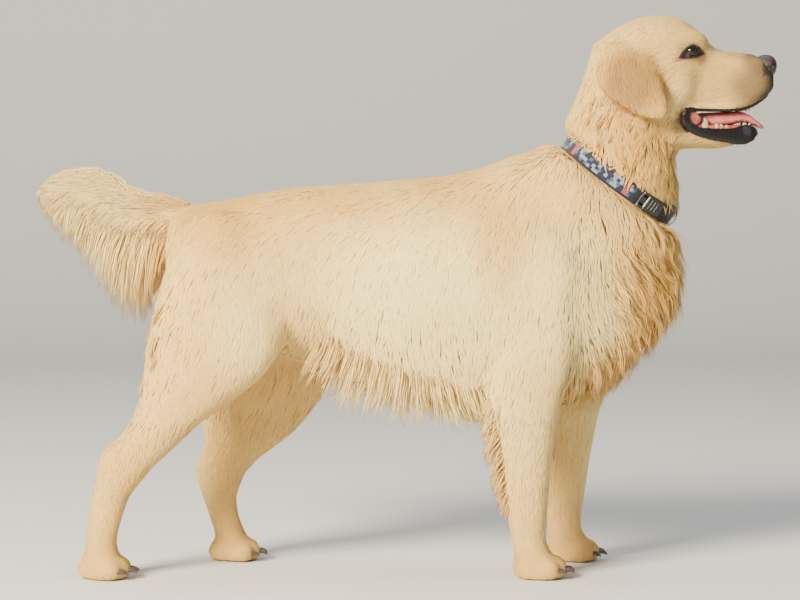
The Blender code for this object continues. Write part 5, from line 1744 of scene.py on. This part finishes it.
locks("coat_breast_locks", BREAST, 8800, 9, 5, length=1.35, lift=0.016, wave=1.4, free=0.50)
locks("coat_ruff_locks", RUFF, 4500, 10, 4, length=0.95, lift=0.004, wave=1.0, free=0.15)
locks("coat_skirt_locks", SKIRT, 3000, 12, 4, length=1.25, lift=0.004, wave=0.3, free=0.35)
locks("coat_breeches_locks", BREECHES, 3600, 10, 4, length=1.1, lift=0.008, wave=0.4, free=0.30)
plume("coat_tail_top", 5200, 4, lower=False)
plume("coat_tail_fringe", 6600, 4, lower=True)
belly_fringe("coat_belly_fringe", 1700, 5)
foreleg_feathers("coat_foreleg_feathers", 1200, 4)


def box_light(name, at, aim, size, energy, colour):
    """A soft rectangular lamp that faces a point."""
    lamp = bpy.data.lights.new(name, "AREA")
    lamp.shape = "RECTANGLE"
    lamp.size, lamp.size_y = size
    lamp.energy = energy
    lamp.color = colour
    obj = link(name, lamp)
    obj.location = at
    obj.rotation_euler = (Vector(at) - Vector(aim)).to_track_quat("Z", "Y").to_euler()


# Lamps: name, place, the point each faces, size, power, colour.
LAMPS = [
    ("key", (-2.8, -3.8, 2.6), (0.0, 0.0, 0.4), (1.8, 1.5), 1120, (1.0, 0.88, 0.66)),
    ("front", (3.4, -2.0, 1.6), (0.1, 0.0, 0.4), (1.8, 1.8), 30, (0.92, 0.96, 1.0)),
    ("top", (0.2, 0.8, 3.6), (0.0, 0.0, 0.3), (2.8, 2.0), 55, (1.0, 1.0, 1.0)),
]


def studio():
    """A pale floor that curves up into a backdrop, and soft light."""
    rows = [(-7.0, 0.0), (4.0, 0.0)]
    rows += [(4.0 + 1.5 * math.sin(a), 1.5 - 1.5 * math.cos(a)) for a in np.linspace(0.15, math.pi / 2, 10)]
    rows += [(5.5, 6.0)]
    verts = [(x, y, z) for y, z in rows for x in (-8.0, 8.0)]
    faces = [(2 * i, 2 * i + 1, 2 * i + 3, 2 * i + 2) for i in range(len(rows) - 1)]
    paint = Paint("studio", Base_Color=(0.62, 0.63, 0.62, 1.0), Roughness=0.9)
    mesh = bpy.data.meshes.new("studio_floor")
    mesh.from_pydata(verts, [], faces)
    mesh.shade_smooth()
    sweep = link("studio_floor", mesh)
    sweep.data.materials.append(paint.material)
    for lamp in LAMPS:
        box_light(*lamp)
    world = bpy.data.worlds.new("studio")
    bpy.context.scene.world = world
    world.use_nodes = True
    back = world.node_tree.nodes["Background"]
    back.inputs["Color"].default_value = (0.80, 0.86, 0.95, 1.0)
    back.inputs["Strength"].default_value = 0.38


def camera():
    """A long lens on the dog's right side, level with its back and tilted a little down."""
    lens = bpy.data.cameras.new("camera")
    lens.lens = 127.7
    lens.sensor_width = 36.0
    obj = link("camera", lens)
    obj.location = (-0.0092, -4.0, 0.60)
    obj.rotation_euler = (math.radians(90 - 3.12), 0.0, 0.0)
    bpy.context.scene.camera = obj


studio()
camera()
